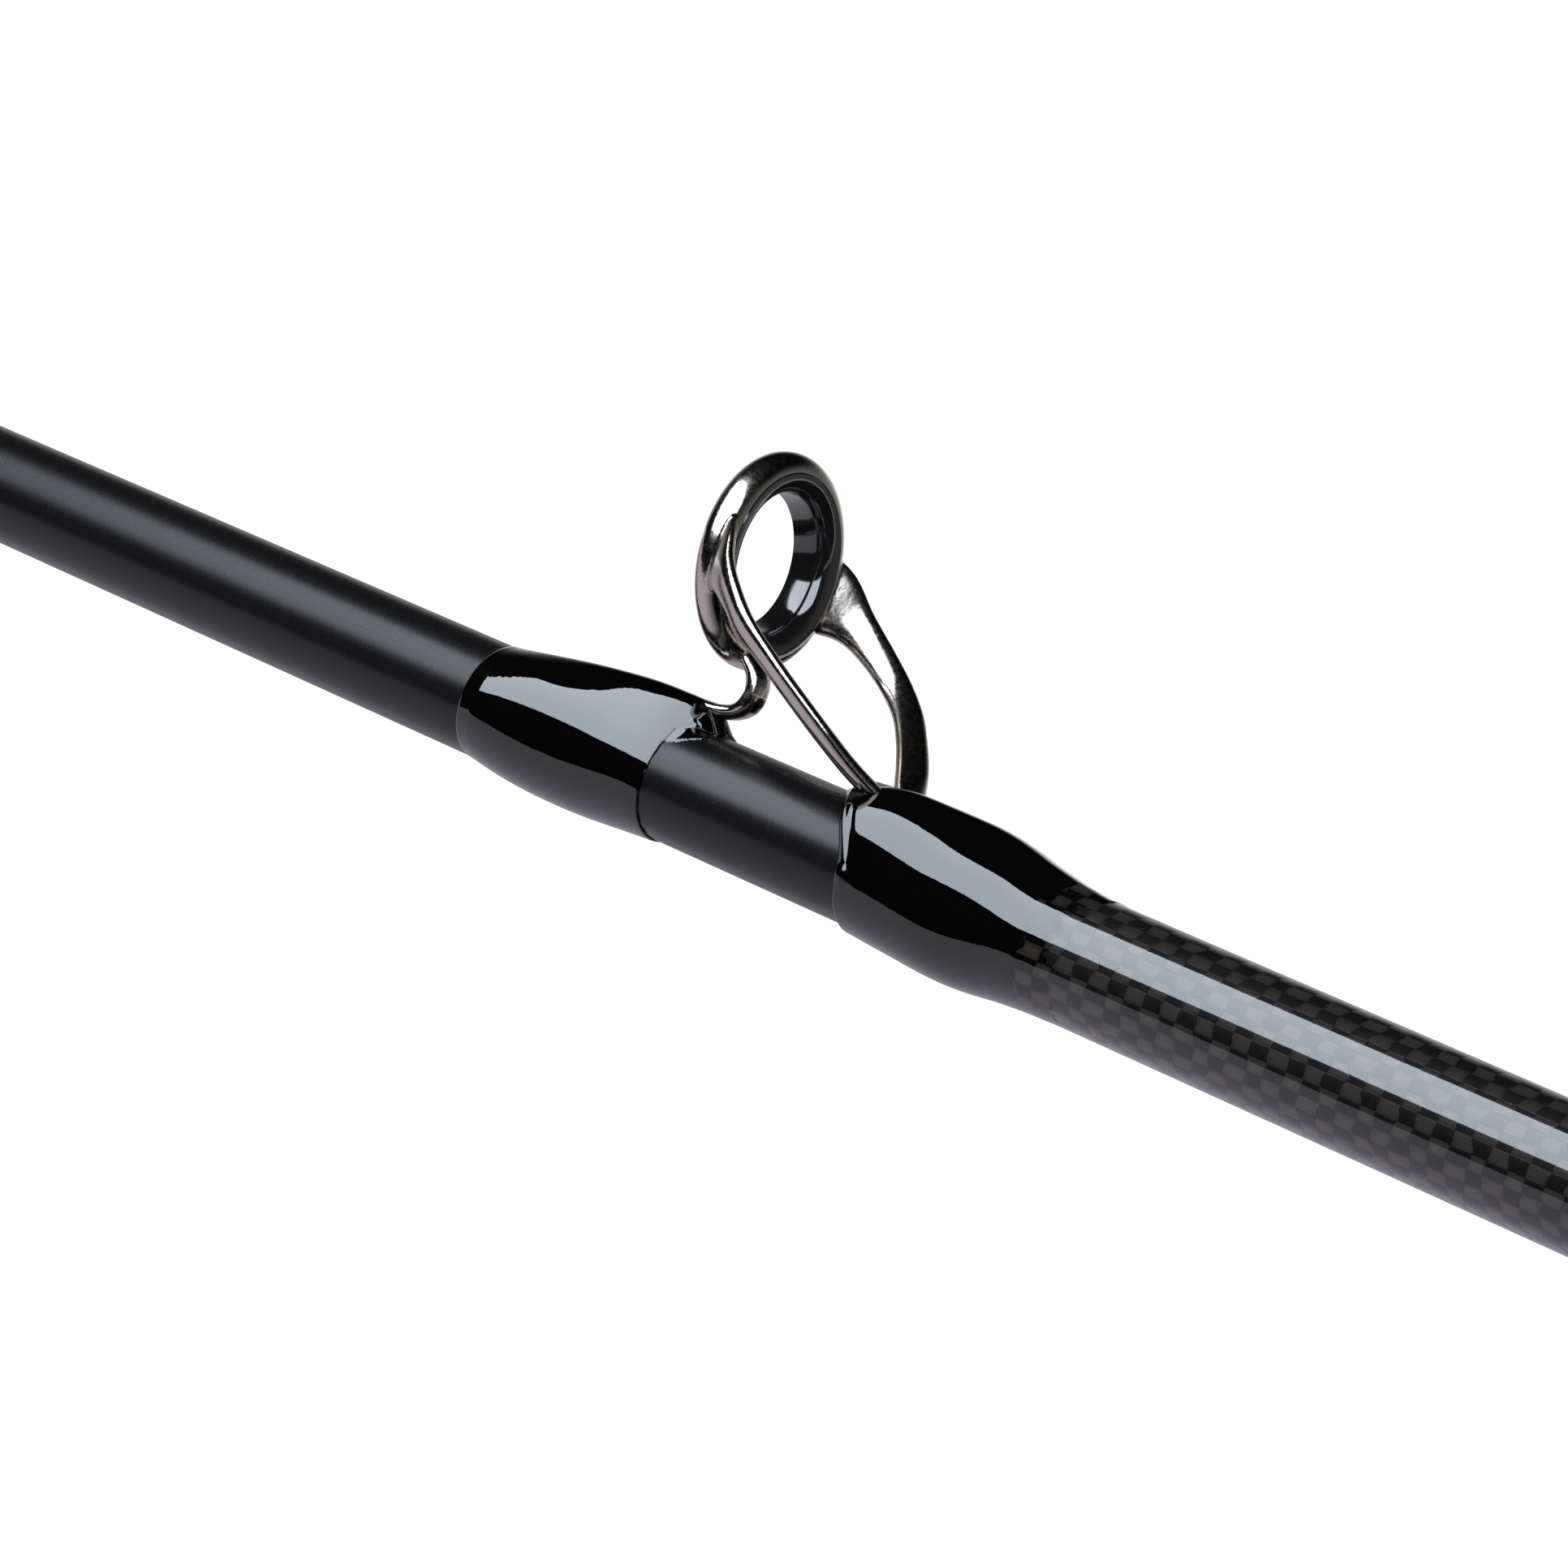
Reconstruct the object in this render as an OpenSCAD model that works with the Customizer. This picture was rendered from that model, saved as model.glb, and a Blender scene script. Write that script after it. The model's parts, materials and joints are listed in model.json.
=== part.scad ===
// Two-piece spinning rod. The butt end's centre is the origin, +X runs to the tip, guides stand on +Z.

/* [Blank] */
// Length from the butt end to the end of the tip-top tube
rod_length = 1980; // [1500:10:2600]
// Outside diameter of the blank at the butt end
butt_d = 14.7; // [12:0.1:18]
// Diameter lost per metre of the butt section
butt_taper = 5.5; // [4:0.1:6]
// Outside diameter of the blank at the tip
tip_d = 2.0; // [1.6:0.1:2.6]
// Wall of the butt blank
blank_wall = 1.3; // [0.8:0.1:2]
// Thickness of the woven sleeve with its clear coat
sleeve_wall = 0.25; // [0.15:0.05:0.5]

/* [Ferrule] */
// Length of the parallel male end
ferrule_length = 70; // [50:1:90]
// Wall of the tip section around the male end
ferrule_wall = 0.95; // [0.8:0.05:1.4]
// Radial gap between the male end and its socket
ferrule_gap = 0.03; // [0.02:0.01:0.09]
// Length of the binding at the socket's mouth
ferrule_wrap_length = 28; // [15:1:40]

/* [Rear handle] */
// Diameter of the straight part of the rear grip
grip_d = 26; // [24:0.5:34]
// Length of the butt cap
cap_length = 14; // [8:1:25]
// Length of the rear grip
rear_grip_length = 104; // [80:1:160]
// Length of the grip's straight part, behind its taper
grip_straight = 62; // [40:1:70]
// Diameter of the rear grip at its front end
grip_front_d = 21; // [19.5:0.5:24]
// Length of the bare blank between the grips
split_length = 92; // [40:1:140]
// Length of the grip behind the reel seat
upper_grip_length = 44; // [30:1:60]
// Length of each trim ring
check_length = 5; // [3:0.5:8]

/* [Reel seat] */
// Length of the reel seat body
seat_length = 118; // [105:1:150]
// Wall of the bushings between the blank and the seat
arbor_wall = 1.4; // [1:0.1:3]
// Wall of the reel seat under its thread
seat_wall = 2.2; // [1.8:0.1:3.5]
// Width of a reel foot that the hoods take
foot_width = 17; // [15:0.5:19]
// Height of a reel foot that the hoods take
foot_height = 5; // [4.6:0.1:6.5]
// Length of each hood
hood_length = 18; // [14:1:24]
// Wall of the hoods
hood_wall = 1.6; // [1.2:0.1:2.4]
// Length of the lock nut
nut_length = 15; // [10:1:20]
// Wall of the lock nut
nut_wall = 2.6; // [2:0.1:4]
// Radial running clearance of the hood and the nut on the seat
seat_gap = 0.06; // [0.05:0.01:0.1]
// Travel of the hood towards the reel foot
travel_in = 10; // [4:1:12]
// Travel of the hood away from the reel foot
travel_out = 14; // [6:1:16]

/* [Front handle] */
// Diameter of the fore grip at the reel seat
fore_grip_d = 25; // [22:0.5:28]
// Diameter of the fore grip at its front end
fore_grip_front_d = 17.5; // [17:0.5:20]
// Length of the fore grip
fore_grip_length = 58; // [30:1:90]
// Inside height of the hook keeper's loop above the blank
keeper_height = 6; // [5:0.5:8]
// Inside length of the hook keeper's loop
keeper_length = 10; // [8:0.5:14]
// Diameter of the hook keeper's wire
keeper_wire = 1.2; // [1:0.1:1.6]

/* [Guides] */
// Ring bore of the first guide
stripper_bore_d = 12; // [10:0.5:16]
// Height of the first guide's ring centre above the blank
stripper_height = 15.2; // [14.6:0.1:18]
// How far the rings lean towards the tip, in degrees
ring_lean = 7; // [0:1:10]
// Thickness of the winding thread
thread_thick = 0.25; // [0.2:0.05:0.35]
// Epoxy over the thread at the thickest place of the first guide
epoxy_thick = 0.7; // [0.5:0.05:0.9]

/* [Hidden] */
glue_gap = 0.1;       // radial gap of bonded round pieces
face_gap = 0.05;      // gap between pieces that stand end to end
bond_gap = 0.03;      // gap around a ceramic ring in its frame
coat = 0.06;          // thinnest edge of a winding or an epoxy coat
graphite = [0.06, 0.06, 0.065];
foam = [0.09, 0.09, 0.09];
trim_metal = [0.45, 0.42, 0.40];
gloss_black = [0.02, 0.02, 0.02];
ceramic = [0.05, 0.05, 0.055];

// stations along the rod
grip_x = cap_length;
rear_check_x = grip_x + rear_grip_length;
split_x = rear_check_x + check_length;
split_check_x = split_x + split_length;
upper_grip_x = split_check_x + check_length;
seat_x = upper_grip_x + upper_grip_length;
fixed_hood_x = seat_x + 8;
bed_x = fixed_hood_x + hood_length + 1;
hood_x = seat_x + seat_length - 6 - nut_length - travel_out - hood_length;
bed_end_x = hood_x - travel_in - 1;
nut_x = hood_x + hood_length + face_gap;
fore_grip_x = seat_x + seat_length + face_gap;
winding_check_x = fore_grip_x + fore_grip_length;
handle_front = winding_check_x + check_length;
keeper_x = handle_front + 24;
ferrule_x = rod_length / 2 - 30;
male_end_x = ferrule_x + ferrule_length;
tube_x = rod_length - 13;

// radii
function butt_r(x) = butt_d / 2 - butt_taper / 2000 * x;
function sleeve_r(x) = butt_r(x) + sleeve_wall;
male_r = butt_r(male_end_x);
socket_r = male_r + ferrule_gap;
function tip_r(x) = socket_r + ferrule_wall
  - (socket_r + ferrule_wall - tip_d / 2) * (x - ferrule_x) / (rod_length - ferrule_x);
seat_bore = sleeve_r(seat_x) + glue_gap + arbor_wall;
seat_r = seat_bore + seat_wall;
hood_r = seat_r + seat_gap + hood_wall;
nut_r = seat_r + seat_gap + nut_wall;
key_w = 4;
key_h = 1;
key_gap = 0.35;

// guides: share of the distance from the handle to the tip, ring bore, centre height, double foot
GUIDES = [
  [0.7818, stripper_bore_d, stripper_height, true],
  [0.567, 7.4, 11.2, true],
  [0.4235, 5.8, 8.6, true],
  [0.313, 4.2, 6.9, false],
  [0.218, 3.8, 6.3, false],
  [0.137, 3.8, 6.0, false],
  [0.065, 3.8, 5.9, false]
];
wire_share = 0.7;     // how slowly wires and strips thin as the guides get smaller
function guide_x(n) = rod_length - (rod_length - handle_front) * GUIDES[n - 1][0];
function bore_r(n) = GUIDES[n - 1][1] / 2;
function height(n) = GUIDES[n - 1][2];
function double_foot(n) = GUIDES[n - 1][3];
function thin(n) = pow(bore_r(n) / 6, wire_share);
function wire_r(n) = 1.56 * thin(n);
function insert_r(n) = bore_r(n) + 0.9 * thin(n);
function ring_r(n) = bore_r(n) + 1.94 * thin(n);
function spread(n) = ring_r(n) / 7.94;
function under_r(n) = n == 1 ? butt_r(guide_x(n)) : tip_r(guide_x(n));

// ---------------------------------------------------------------- shared shapes

// children stand on Z and are laid along X
module along_rod() { rotate([0, 90, 0]) children(); }

// solid of revolution about the rod from [radius, x] points
module turned(points) { along_rod() rotate_extrude($fn = 180) polygon(points); }

// tube between two stations from four radii
module tube(x0, x1, inner0, inner1, outer0, outer1) {
  turned([[inner0, x0], [outer0, x0], [outer1, x1], [inner1, x1]]);
}

// box given by its lowest and highest corners
module block(low, high) { translate(low) cube(high - low); }

function unit(v) = v / norm(v);
function bar_section(w, t) = let(c = 0.3 * t) [
  [w / 2, c - t / 2], [w / 2, t / 2 - c], [w / 2 - c, t / 2], [c - w / 2, t / 2],
  [-w / 2, t / 2 - c], [-w / 2, c - t / 2], [c - w / 2, -t / 2], [w / 2 - c, -t / 2]
];

// closed skin over stations of equally many points, in order
module skin(stations) {
  count = len(stations[0]);
  last = len(stations) - 1;
  polyhedron(
    points = [for (s = stations) each s],
    faces = concat(
      [[for (j = [0:count - 1]) j]],
      [for (i = [0:last - 1], j = [0:count - 1]) let(k = (j + 1) % count)
        [i * count + j, (i + 1) * count + j, (i + 1) * count + k, i * count + k]],
      [[for (j = [count - 1:-1:0]) last * count + j]]
    )
  );
}

// strip along stations of [point, width, thickness, normal of its broad face]
module strip(stations) {
  last = len(stations) - 1;
  skin([for (i = [0:last]) let(
    along = unit(stations[min(i + 1, last)][0] - stations[max(i - 1, 0)][0]),
    across = unit(cross(stations[i][3], along)),
    up = cross(along, across)
  ) [for (q = bar_section(stations[i][1], stations[i][2])) stations[i][0] + q.x * across + q.y * up]]);
}

// ---------------------------------------------------------------- guide frames

// frame of guide n: a leaning ring, two rear struts on one foot, and a front leg on the larger ones
module at_guide(n) { translate([guide_x(n), 0, 0]) children(); }
module at_ring(n) {
  translate([0, 0, under_r(n) + height(n)]) rotate([0, 90 + ring_lean, 0]) children();
}

// a point of the frame from the first guide's proportions: x, y, and height as a share
function frame_point(n, p) = [p.x * spread(n), p.y * spread(n), under_r(n) + p.z * height(n)];

// rear strut: x, y, height share, width, lean of the broad face from upright towards the butt
STRUT = [
  [0, 7.6, 0.905, 7.2, 0.12], [-1.3, 9.3, 0.878, 5.8, 0.3], [-3.5, 10.9, 0.824, 4.1, 0.7],
  [-6.2, 11.9, 0.722, 3.1, 1.2], [-8.6, 12.2, 0.620, 2.9, 1.3], [-11.4, 11.3, 0.501, 2.9, 1.3],
  [-14.2, 9.4, 0.363, 2.9, 1.3], [-16.8, 7.0, 0.224, 2.9, 1.4], [-19.0, 4.4, 0.125, 2.9, 2.5],
  [-21.8, 1.2, 0.080, 2.6, 20]
];
strip_thick = 1.1;
module strut(n, side) {
  strip([for (s = STRUT) [
    frame_point(n, [s[0], side * s[1], s[2]]), s[3] * thin(n), strip_thick * thin(n), unit([-1, 0, s[4]])
  ]]);
}

// rear foot: x, height share, width, thickness share
REAR_FOOT = [
  [-19.6, 0.082, 5.6, 1], [-23, 0.080, 4.9, 1], [-28, 0.066, 3.9, 0.85], [-33.5, 0.046, 3.0, 0.6],
  [-38.6, 0.030, 1.6, 0.32]
];
// front leg and the foot it runs into: x, height share, width, thickness share
FRONT_FOOT = [
  [-1.6, 0.115, 2.6, 1], [0.5, 0.109, 2.8, 1], [4, 0.096, 3.2, 1], [9, 0.062, 3.2, 0.8],
  [13.5, 0.038, 2.8, 0.55], [18, 0.020, 1.6, 0.32]
];
FRONT_LEG = concat([
  [-0.9, 0.508, 4.2, 1], [-2.5, 0.442, 3.2, 1], [-3.6, 0.369, 2.6, 1], [-3.95, 0.288, 2.4, 1],
  [-3.7, 0.208, 2.4, 1], [-2.9, 0.148, 2.4, 1]
], FRONT_FOOT);
// strip in the plane of symmetry from such a table, its broad face across the rod
module flat_leg(n, table) {
  last = len(table) - 1;
  centres = [for (s = table) frame_point(n, [s[0], 0, s[1]])];
  strip([for (i = [0:last]) let(d = centres[min(i + 1, last)] - centres[max(i - 1, 0)])
    [centres[i], table[i][2] * thin(n), strip_thick * table[i][3] * thin(n), unit([d.z, 0, -d.x])]]);
}

module guide_frame(n) {
  color(trim_metal) at_guide(n) difference() {
    union() {
      at_ring(n) rotate_extrude($fn = 64) translate([ring_r(n), 0]) circle(r = wire_r(n), $fn = 24);
      strut(n, 1);
      strut(n, -1);
      flat_leg(n, REAR_FOOT);
      if (double_foot(n)) flat_leg(n, FRONT_LEG);
    }
    at_ring(n) cylinder(r = insert_r(n) + bond_gap, h = 8 * thin(n), center = true, $fn = 64);
  }
}

// ceramic ring of guide n: a straight bore, rounded towards the butt and eased towards the tip
function bore_length(n) = 2.15 * thin(n);
module guide_ring(n) {
  k = thin(n);
  b = bore_r(n);
  o = insert_r(n);
  tip_face = 2.1 * k;
  color(ceramic) at_guide(n) at_ring(n) rotate_extrude($fn = 64) polygon([
    [b, tip_face - 0.1 * k], [b, tip_face - 0.1 * k - bore_length(n)], [b + 0.12 * k, -0.6 * k],
    [b + 0.4 * k, -1.1 * k], [o - 0.1 * k, -1.35 * k], [o, -1.15 * k], [o, 1.2 * k],
    [o - 0.25 * k, 1.8 * k], [b + 0.1 * k, tip_face]
  ]);
}

// ---------------------------------------------------------------- windings

// outline radius at an angle from +Z of a tight winding over a round core and a flat foot on top
function wound_r(angle, core, top, half) =
  let(corner = norm([half, top]), at = atan2(half, top), leave = at + acos(min(1, core / corner)))
  corner <= core ? core
    : angle < at ? top / cos(angle)
    : angle < leave ? core / cos(angle - leave)
    : core;

// swell of a winding against its share of the way from the foot's toe to its root
FRONT_SWELL = [[0, 0], [0.04, 0.25], [0.12, 0.58], [0.3, 0.93], [0.43, 1], [0.57, 1], [0.82, 0.47], [1, 0]];
REAR_SWELL = [[0, 0], [0.15, 0.15], [0.35, 0.62], [0.5, 1], [0.64, 1], [0.82, 0.6], [0.95, 0.2], [1, 0]];
over_foot = 0.5;      // share of the swell that lies on top of the foot

// winding of guide n from its toe end x0 to its root end x1 over a foot table, swelling by thick
module wound(n, table, swells, x0, x1, thick, rings, points) {
  tops = [for (s = table) [s[0] * spread(n),
    under_r(n) + s[1] * height(n) + strip_thick * s[3] * thin(n) / 2]];
  halves = [for (s = table) [s[0] * spread(n), s[2] * thin(n) / 2]];
  // tables run away from the ring, so the rear one is turned round for the lookup
  rising = table[0][0] < table[len(table) - 1][0];
  top_of = rising ? tops : [for (i = [len(tops) - 1:-1:0]) tops[i]];
  half_of = rising ? halves : [for (i = [len(halves) - 1:-1:0]) halves[i]];
  first = min([for (t = top_of) t.x]);
  final = max([for (t = top_of) t.x]);
  low = min(x0, x1);
  high = max(x0, x1);
  at_guide(n) skin([for (i = [0:rings]) let(
    x = low + (high - low) * i / rings,
    swell = coat + thick * lookup((x - x0) / (x1 - x0), swells),
    core = (skin_r(n, x) + swell) / cos(180 / points),
    over = x > first && x < final,
    top = over ? lookup(x, top_of) + coat + over_foot * (swell - coat) : core,
    half = over ? lookup(x, half_of) : 0
  ) [for (j = [0:points - 1]) let(
    turn = 360 * j / points,
    angle = turn <= 270 ? abs(turn - 90) : 450 - turn,
    r = max(core, wound_r(angle, core, top, half))
  ) [x, r * cos(turn), r * sin(turn)]]]);
}

// surface that guide n's windings lie on, at x from the guide
function skin_r(n, x) = n > 1 ? tip_r(guide_x(n) + x)
  : butt_r(guide_x(n) + x) + (x < sleeve_end ? sleeve_wall : 0);
sleeve_end = -40 * spread(1);

// both ends of a winding, from past the foot's toe to its root
function front_span(n) = [20.8, -0.4] * spread(n);
function rear_span(n) = [-44.5, -21.3] * spread(n);
inset = 0.8;          // how far the epoxy runs past the thread at each end
module each_winding(n, grow, thick, rings, points) {
  f = front_span(n);
  r = rear_span(n);
  e = (inset - grow) * spread(n);
  if (double_foot(n)) wound(n, FRONT_FOOT, FRONT_SWELL, f[0] - e, f[1] + e, thick, rings, points);
  wound(n, REAR_FOOT, REAR_SWELL, r[0] + e, r[1] - e, thick, rings, points);
}

module guide_blank(n) {
  reach = 60 * spread(n);
  if (n == 1) {
    translate([-guide_x(n), 0, 0])
      turned([[0, guide_x(n) - reach], [butt_r(guide_x(n) - reach), guide_x(n) - reach],
        [butt_r(guide_x(n) + reach), guide_x(n) + reach], [0, guide_x(n) + reach]]);
    translate([-guide_x(n), 0, 0])
      turned([[0, guide_x(n) - reach], [sleeve_r(guide_x(n) - reach), guide_x(n) - reach],
        [sleeve_r(guide_x(n) + sleeve_end), guide_x(n) + sleeve_end], [0, guide_x(n) + sleeve_end]]);
  } else {
    translate([-guide_x(n), 0, 0])
      turned([[0, guide_x(n) - reach], [tip_r(guide_x(n) - reach), guide_x(n) - reach],
        [tip_r(guide_x(n) + reach), guide_x(n) + reach], [0, guide_x(n) + reach]]);
  }
}

function ring_count(n) = n == 1 ? 10 : 6;
function point_count(n) = n == 1 ? 28 : 20;

// what guide n's windings lie on: the blank, the feet and the lower ends of the struts
module wound_over(n) {
  at_guide(n) {
    guide_blank(n);
    flat_leg(n, REAR_FOOT);
    strut(n, 1);
    strut(n, -1);
    if (double_foot(n)) flat_leg(n, FRONT_LEG);
  }
}

module guide_thread(n) {
  color(gloss_black) difference() {
    each_winding(n, 0, thread_thick, ring_count(n), point_count(n));
    wound_over(n);
  }
}

module guide_epoxy(n) {
  color(gloss_black) difference() {
    each_winding(n, inset, thread_thick + epoxy_thick * thin(n), ring_count(n), point_count(n));
    each_winding(n, 0, thread_thick, ring_count(n), point_count(n));
    wound_over(n);
  }
}

// ---------------------------------------------------------------- blank and ferrule

module butt_blank() {
  color(graphite) difference() {
    turned([[0, 1], [butt_r(1), 1], [butt_r(ferrule_x - 3), ferrule_x - 3], [male_r, ferrule_x - 2],
      [male_r, male_end_x - 1], [male_r - 0.5, male_end_x], [0, male_end_x]]);
    turned([[0, 3], [butt_r(3) - blank_wall, 3], [male_r - blank_wall, male_end_x - 12],
      [0, male_end_x - 12]]);
  }
}

module weave_sleeve() {
  color(graphite) tube(2, guide_x(1) + sleeve_end, butt_r(2), butt_r(guide_x(1) + sleeve_end),
    sleeve_r(2), sleeve_r(guide_x(1) + sleeve_end));
}

module tip_blank() {
  end = rod_length - 1;
  color(graphite) difference() {
    turned([[0, ferrule_x], [tip_r(ferrule_x), ferrule_x], [tip_r(end), end], [0, end]]);
    turned([[0, ferrule_x - 1], [socket_r, ferrule_x - 1], [socket_r, male_end_x + 2],
      [socket_r - ferrule_wall, male_end_x + 6], [tip_d / 4, rod_length - 250], [0, rod_length - 250]]);
  }
}

// alignment band on the butt section just behind the joint
module ferrule_ring() {
  x0 = ferrule_x - 10;
  x1 = ferrule_x - 4;
  color(trim_metal) tube(x0, x1, butt_r(x0), butt_r(x1), butt_r(x0) + 0.45, butt_r(x0) + 0.45);
}

// binding that stops the socket from splitting
module ferrule_wrap() {
  x0 = ferrule_x + 0.5;
  x1 = x0 + ferrule_wrap_length;
  color(gloss_black) turned([[tip_r(x0), x0], [tip_r(x0) + coat, x0], [tip_r(x0) + 0.55, x0 + 5],
    [tip_r(x1) + 0.5, x1 - 5], [tip_r(x1) + coat, x1], [tip_r(x1), x1]]);
}

// ---------------------------------------------------------------- handle

module butt_cap() {
  r = grip_d / 2 - 0.3;
  lip = grip_x - face_gap;
  color([0.05, 0.05, 0.05]) difference() {
    turned([[0, 0], [r - 4, 0], [r - 1.4, 1], [r - 0.3, 3], [r, 6], [r, lip - 1], [r - 0.4, lip], [0, lip]]);
    turned([[0, 1 - face_gap], [sleeve_r(1) + glue_gap, 1 - face_gap],
      [sleeve_r(lip + 1) + glue_gap, lip + 1], [0, lip + 1]]);
  }
}

module rear_grip() {
  x0 = grip_x;
  x1 = rear_check_x - face_gap;
  r = grip_d / 2;
  f = grip_front_d / 2;
  color(foam) turned([
    [sleeve_r(x0) + glue_gap, x0], [r - 0.6, x0], [r, x0 + 1], [r, x0 + grip_straight],
    [r - 0.25 * (r - f), x0 + grip_straight + 8], [f + 0.3, x1 - 8], [f, x1 - 3], [f - 0.5, x1],
    [sleeve_r(x1) + glue_gap, x1]
  ]);
}

// turned trim ring with a groove
module trim_ring(x, r) {
  end = x + check_length - face_gap;
  mid = (x + end) / 2;
  color(trim_metal) turned([
    [sleeve_r(x) + glue_gap, x], [r - 0.4, x], [r, x + 0.5], [r, mid - 0.6], [r - 0.5, mid - 0.3],
    [r - 0.5, mid + 0.3], [r, mid + 0.6], [r, end - 0.5], [r - 0.4, end], [sleeve_r(end) + glue_gap, end]
  ]);
}
module rear_grip_check() { trim_ring(rear_check_x, grip_front_d / 2 - 0.8); }
module split_grip_check() { trim_ring(split_check_x, grip_front_d / 2 - 0.8); }

module upper_grip() {
  x0 = upper_grip_x;
  x1 = seat_x - face_gap;
  f = grip_front_d / 2;
  color(foam) turned([
    [sleeve_r(x0) + glue_gap, x0], [f - 0.5, x0], [f, x0 + 3], [f + 0.4, x0 + 12],
    [seat_r + 0.8, x1 - 14], [seat_r + 1.4, x1 - 4], [seat_r + 1.0, x1], [sleeve_r(x1) + glue_gap, x1]
  ]);
}

// reel seat: a threaded barrel with a flat bed for the reel foot and a keyway underneath
bed_z = seat_r - 1.2;
relief = 0.2;
module reel_seat_body() {
  x1 = seat_x + seat_length;
  color([0.07, 0.07, 0.075]) difference() {
    turned([
      [seat_bore + glue_gap, seat_x], [seat_r, seat_x], [seat_r, x1 - 0.8], [seat_r - 0.8, x1],
      [seat_bore + glue_gap, x1]
    ]);
    block([bed_x, -seat_r - 1, bed_z], [bed_end_x, seat_r + 1, seat_r + 5]);
    // the foot's two ends stand just clear of the seat inside the hoods
    block([fixed_hood_x + 2, -seat_r - 1, bed_z - relief], [bed_x + 0.1, seat_r + 1, seat_r + 5]);
    block([bed_end_x - 0.1, -seat_r - 1, bed_z - relief], [x1 + 1, seat_r + 1, seat_r + 5]);
    block([bed_end_x, -key_w / 2, -seat_r - 1], [x1 + 1, key_w / 2, key_h - seat_r]);
  }
}

// three bushings that centre the seat on the blank
module seat_arbors() {
  color([0.75, 0.72, 0.62]) for (i = [0:2]) {
    x0 = seat_x + 6 + i * (seat_length - 36) / 2;
    x1 = x0 + 22;
    tube(x0, x1, sleeve_r(x0) + glue_gap, sleeve_r(x1) + glue_gap, seat_bore, seat_bore);
  }
}

// hood: a sleeve on the seat with a pocket for the reel foot, open away from its closed end
pocket_top = bed_z + foot_height;
hood_flat = 0.62;     // share of a hood's length, from the closed end, where its roof levels off
hood_end_wall = 2.4;
// closed end at X = 0, open towards +X
module hood_shape() {
  wide = foot_width / 2;
  roof = pocket_top + hood_wall;
  level = hood_flat * hood_length;
  difference() {
    union() {
      turned([[0, 0], [hood_r - 0.6, 0], [hood_r, 0.6], [hood_r, hood_length - 0.6],
        [hood_r - 0.6, hood_length], [0, hood_length]]);
      intersection() {
        side_profile(2 * (wide + hood_wall),
          [[0, 0], [0, hood_r + 0.2], [level, roof], [hood_length, roof], [hood_length, 0]]);
        along_rod() cylinder(r = roof + 0.9, h = hood_length, $fn = 96);
      }
    }
    side_profile(2 * wide, [[hood_end_wall, bed_z - 2.5], [hood_end_wall, pocket_end], [level, pocket_top],
      [hood_length + 1, pocket_top], [hood_length + 1, bed_z - 2.5]]);
    translate([-1, 0, 0]) along_rod() cylinder(r = seat_r + seat_gap, h = hood_length + 2, $fn = 96);
  }
}
pocket_end = bed_z + 2.2;

// [x, z] outline made as wide as asked across the rod
module side_profile(width, points) {
  rotate([90, 0, 0]) linear_extrude(width, center = true) polygon(points);
}

module fixed_hood() {
  color([0.3, 0.28, 0.27]) translate([fixed_hood_x, 0, 0]) hood_shape();
}

module turned_round(x) { translate([x + hood_length, 0, 0]) mirror([1, 0, 0]) children(); }

module moving_hood() {
  color([0.3, 0.28, 0.27]) {
    turned_round(hood_x) hood_shape();
    // key that keeps the hood from turning
    block([hood_x + 1, key_gap - key_w / 2, -seat_r - seat_gap - 0.5],
      [hood_x + hood_length - 1, key_w / 2 - key_gap, key_h - key_gap - seat_r]);
  }
}

// thin pad that cushions the reel foot under the moving hood's roof
liner_thick = 0.4;
module hood_liner() {
  level = hood_flat * hood_length;
  back = 3.5;
  top = pocket_top - face_gap;
  low = top - (pocket_top - pocket_end) * (level - back) / (level - hood_end_wall);
  color([0.1, 0.1, 0.1]) turned_round(hood_x) side_profile(foot_width - 1, [
    [back, low], [back, low - liner_thick], [level, top - liner_thick],
    [hood_length - 0.5, top - liner_thick], [hood_length - 0.5, top], [level, top]
  ]);
}

// lock nut: plain running bore on the thread's crests, fluted outside
module lock_nut() {
  x1 = nut_x + nut_length;
  color([0.3, 0.28, 0.27]) difference() {
    turned([
      [seat_r + seat_gap, nut_x], [nut_r - 0.6, nut_x], [nut_r, nut_x + 0.6], [nut_r, x1 - 3.4],
      [nut_r - 0.9, x1 - 3], [nut_r - 0.9, x1 - 0.4], [nut_r - 1.3, x1], [seat_r + seat_gap, x1]
    ]);
    for (i = [0:23]) rotate([i * 15, 0, 0]) translate([nut_x + 2, 0, nut_r + 0.35])
      along_rod() cylinder(r = 0.9, h = nut_length - 6.5, $fn = 24);
  }
}

module fore_grip() {
  x0 = fore_grip_x;
  x1 = winding_check_x - face_gap;
  r = fore_grip_d / 2;
  f = fore_grip_front_d / 2;
  color(foam) turned([
    [sleeve_r(x0) + glue_gap, x0], [r - 1, x0], [r, x0 + 1.5], [r, x0 + 8],
    [r - 0.35 * (r - f), x0 + 0.45 * fore_grip_length], [f + 0.3, x1 - 8], [f, x1 - 2], [f - 0.4, x1],
    [sleeve_r(x1) + glue_gap, x1]
  ]);
}
module winding_check() { trim_ring(winding_check_x, fore_grip_front_d / 2 - 0.6); }

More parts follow.
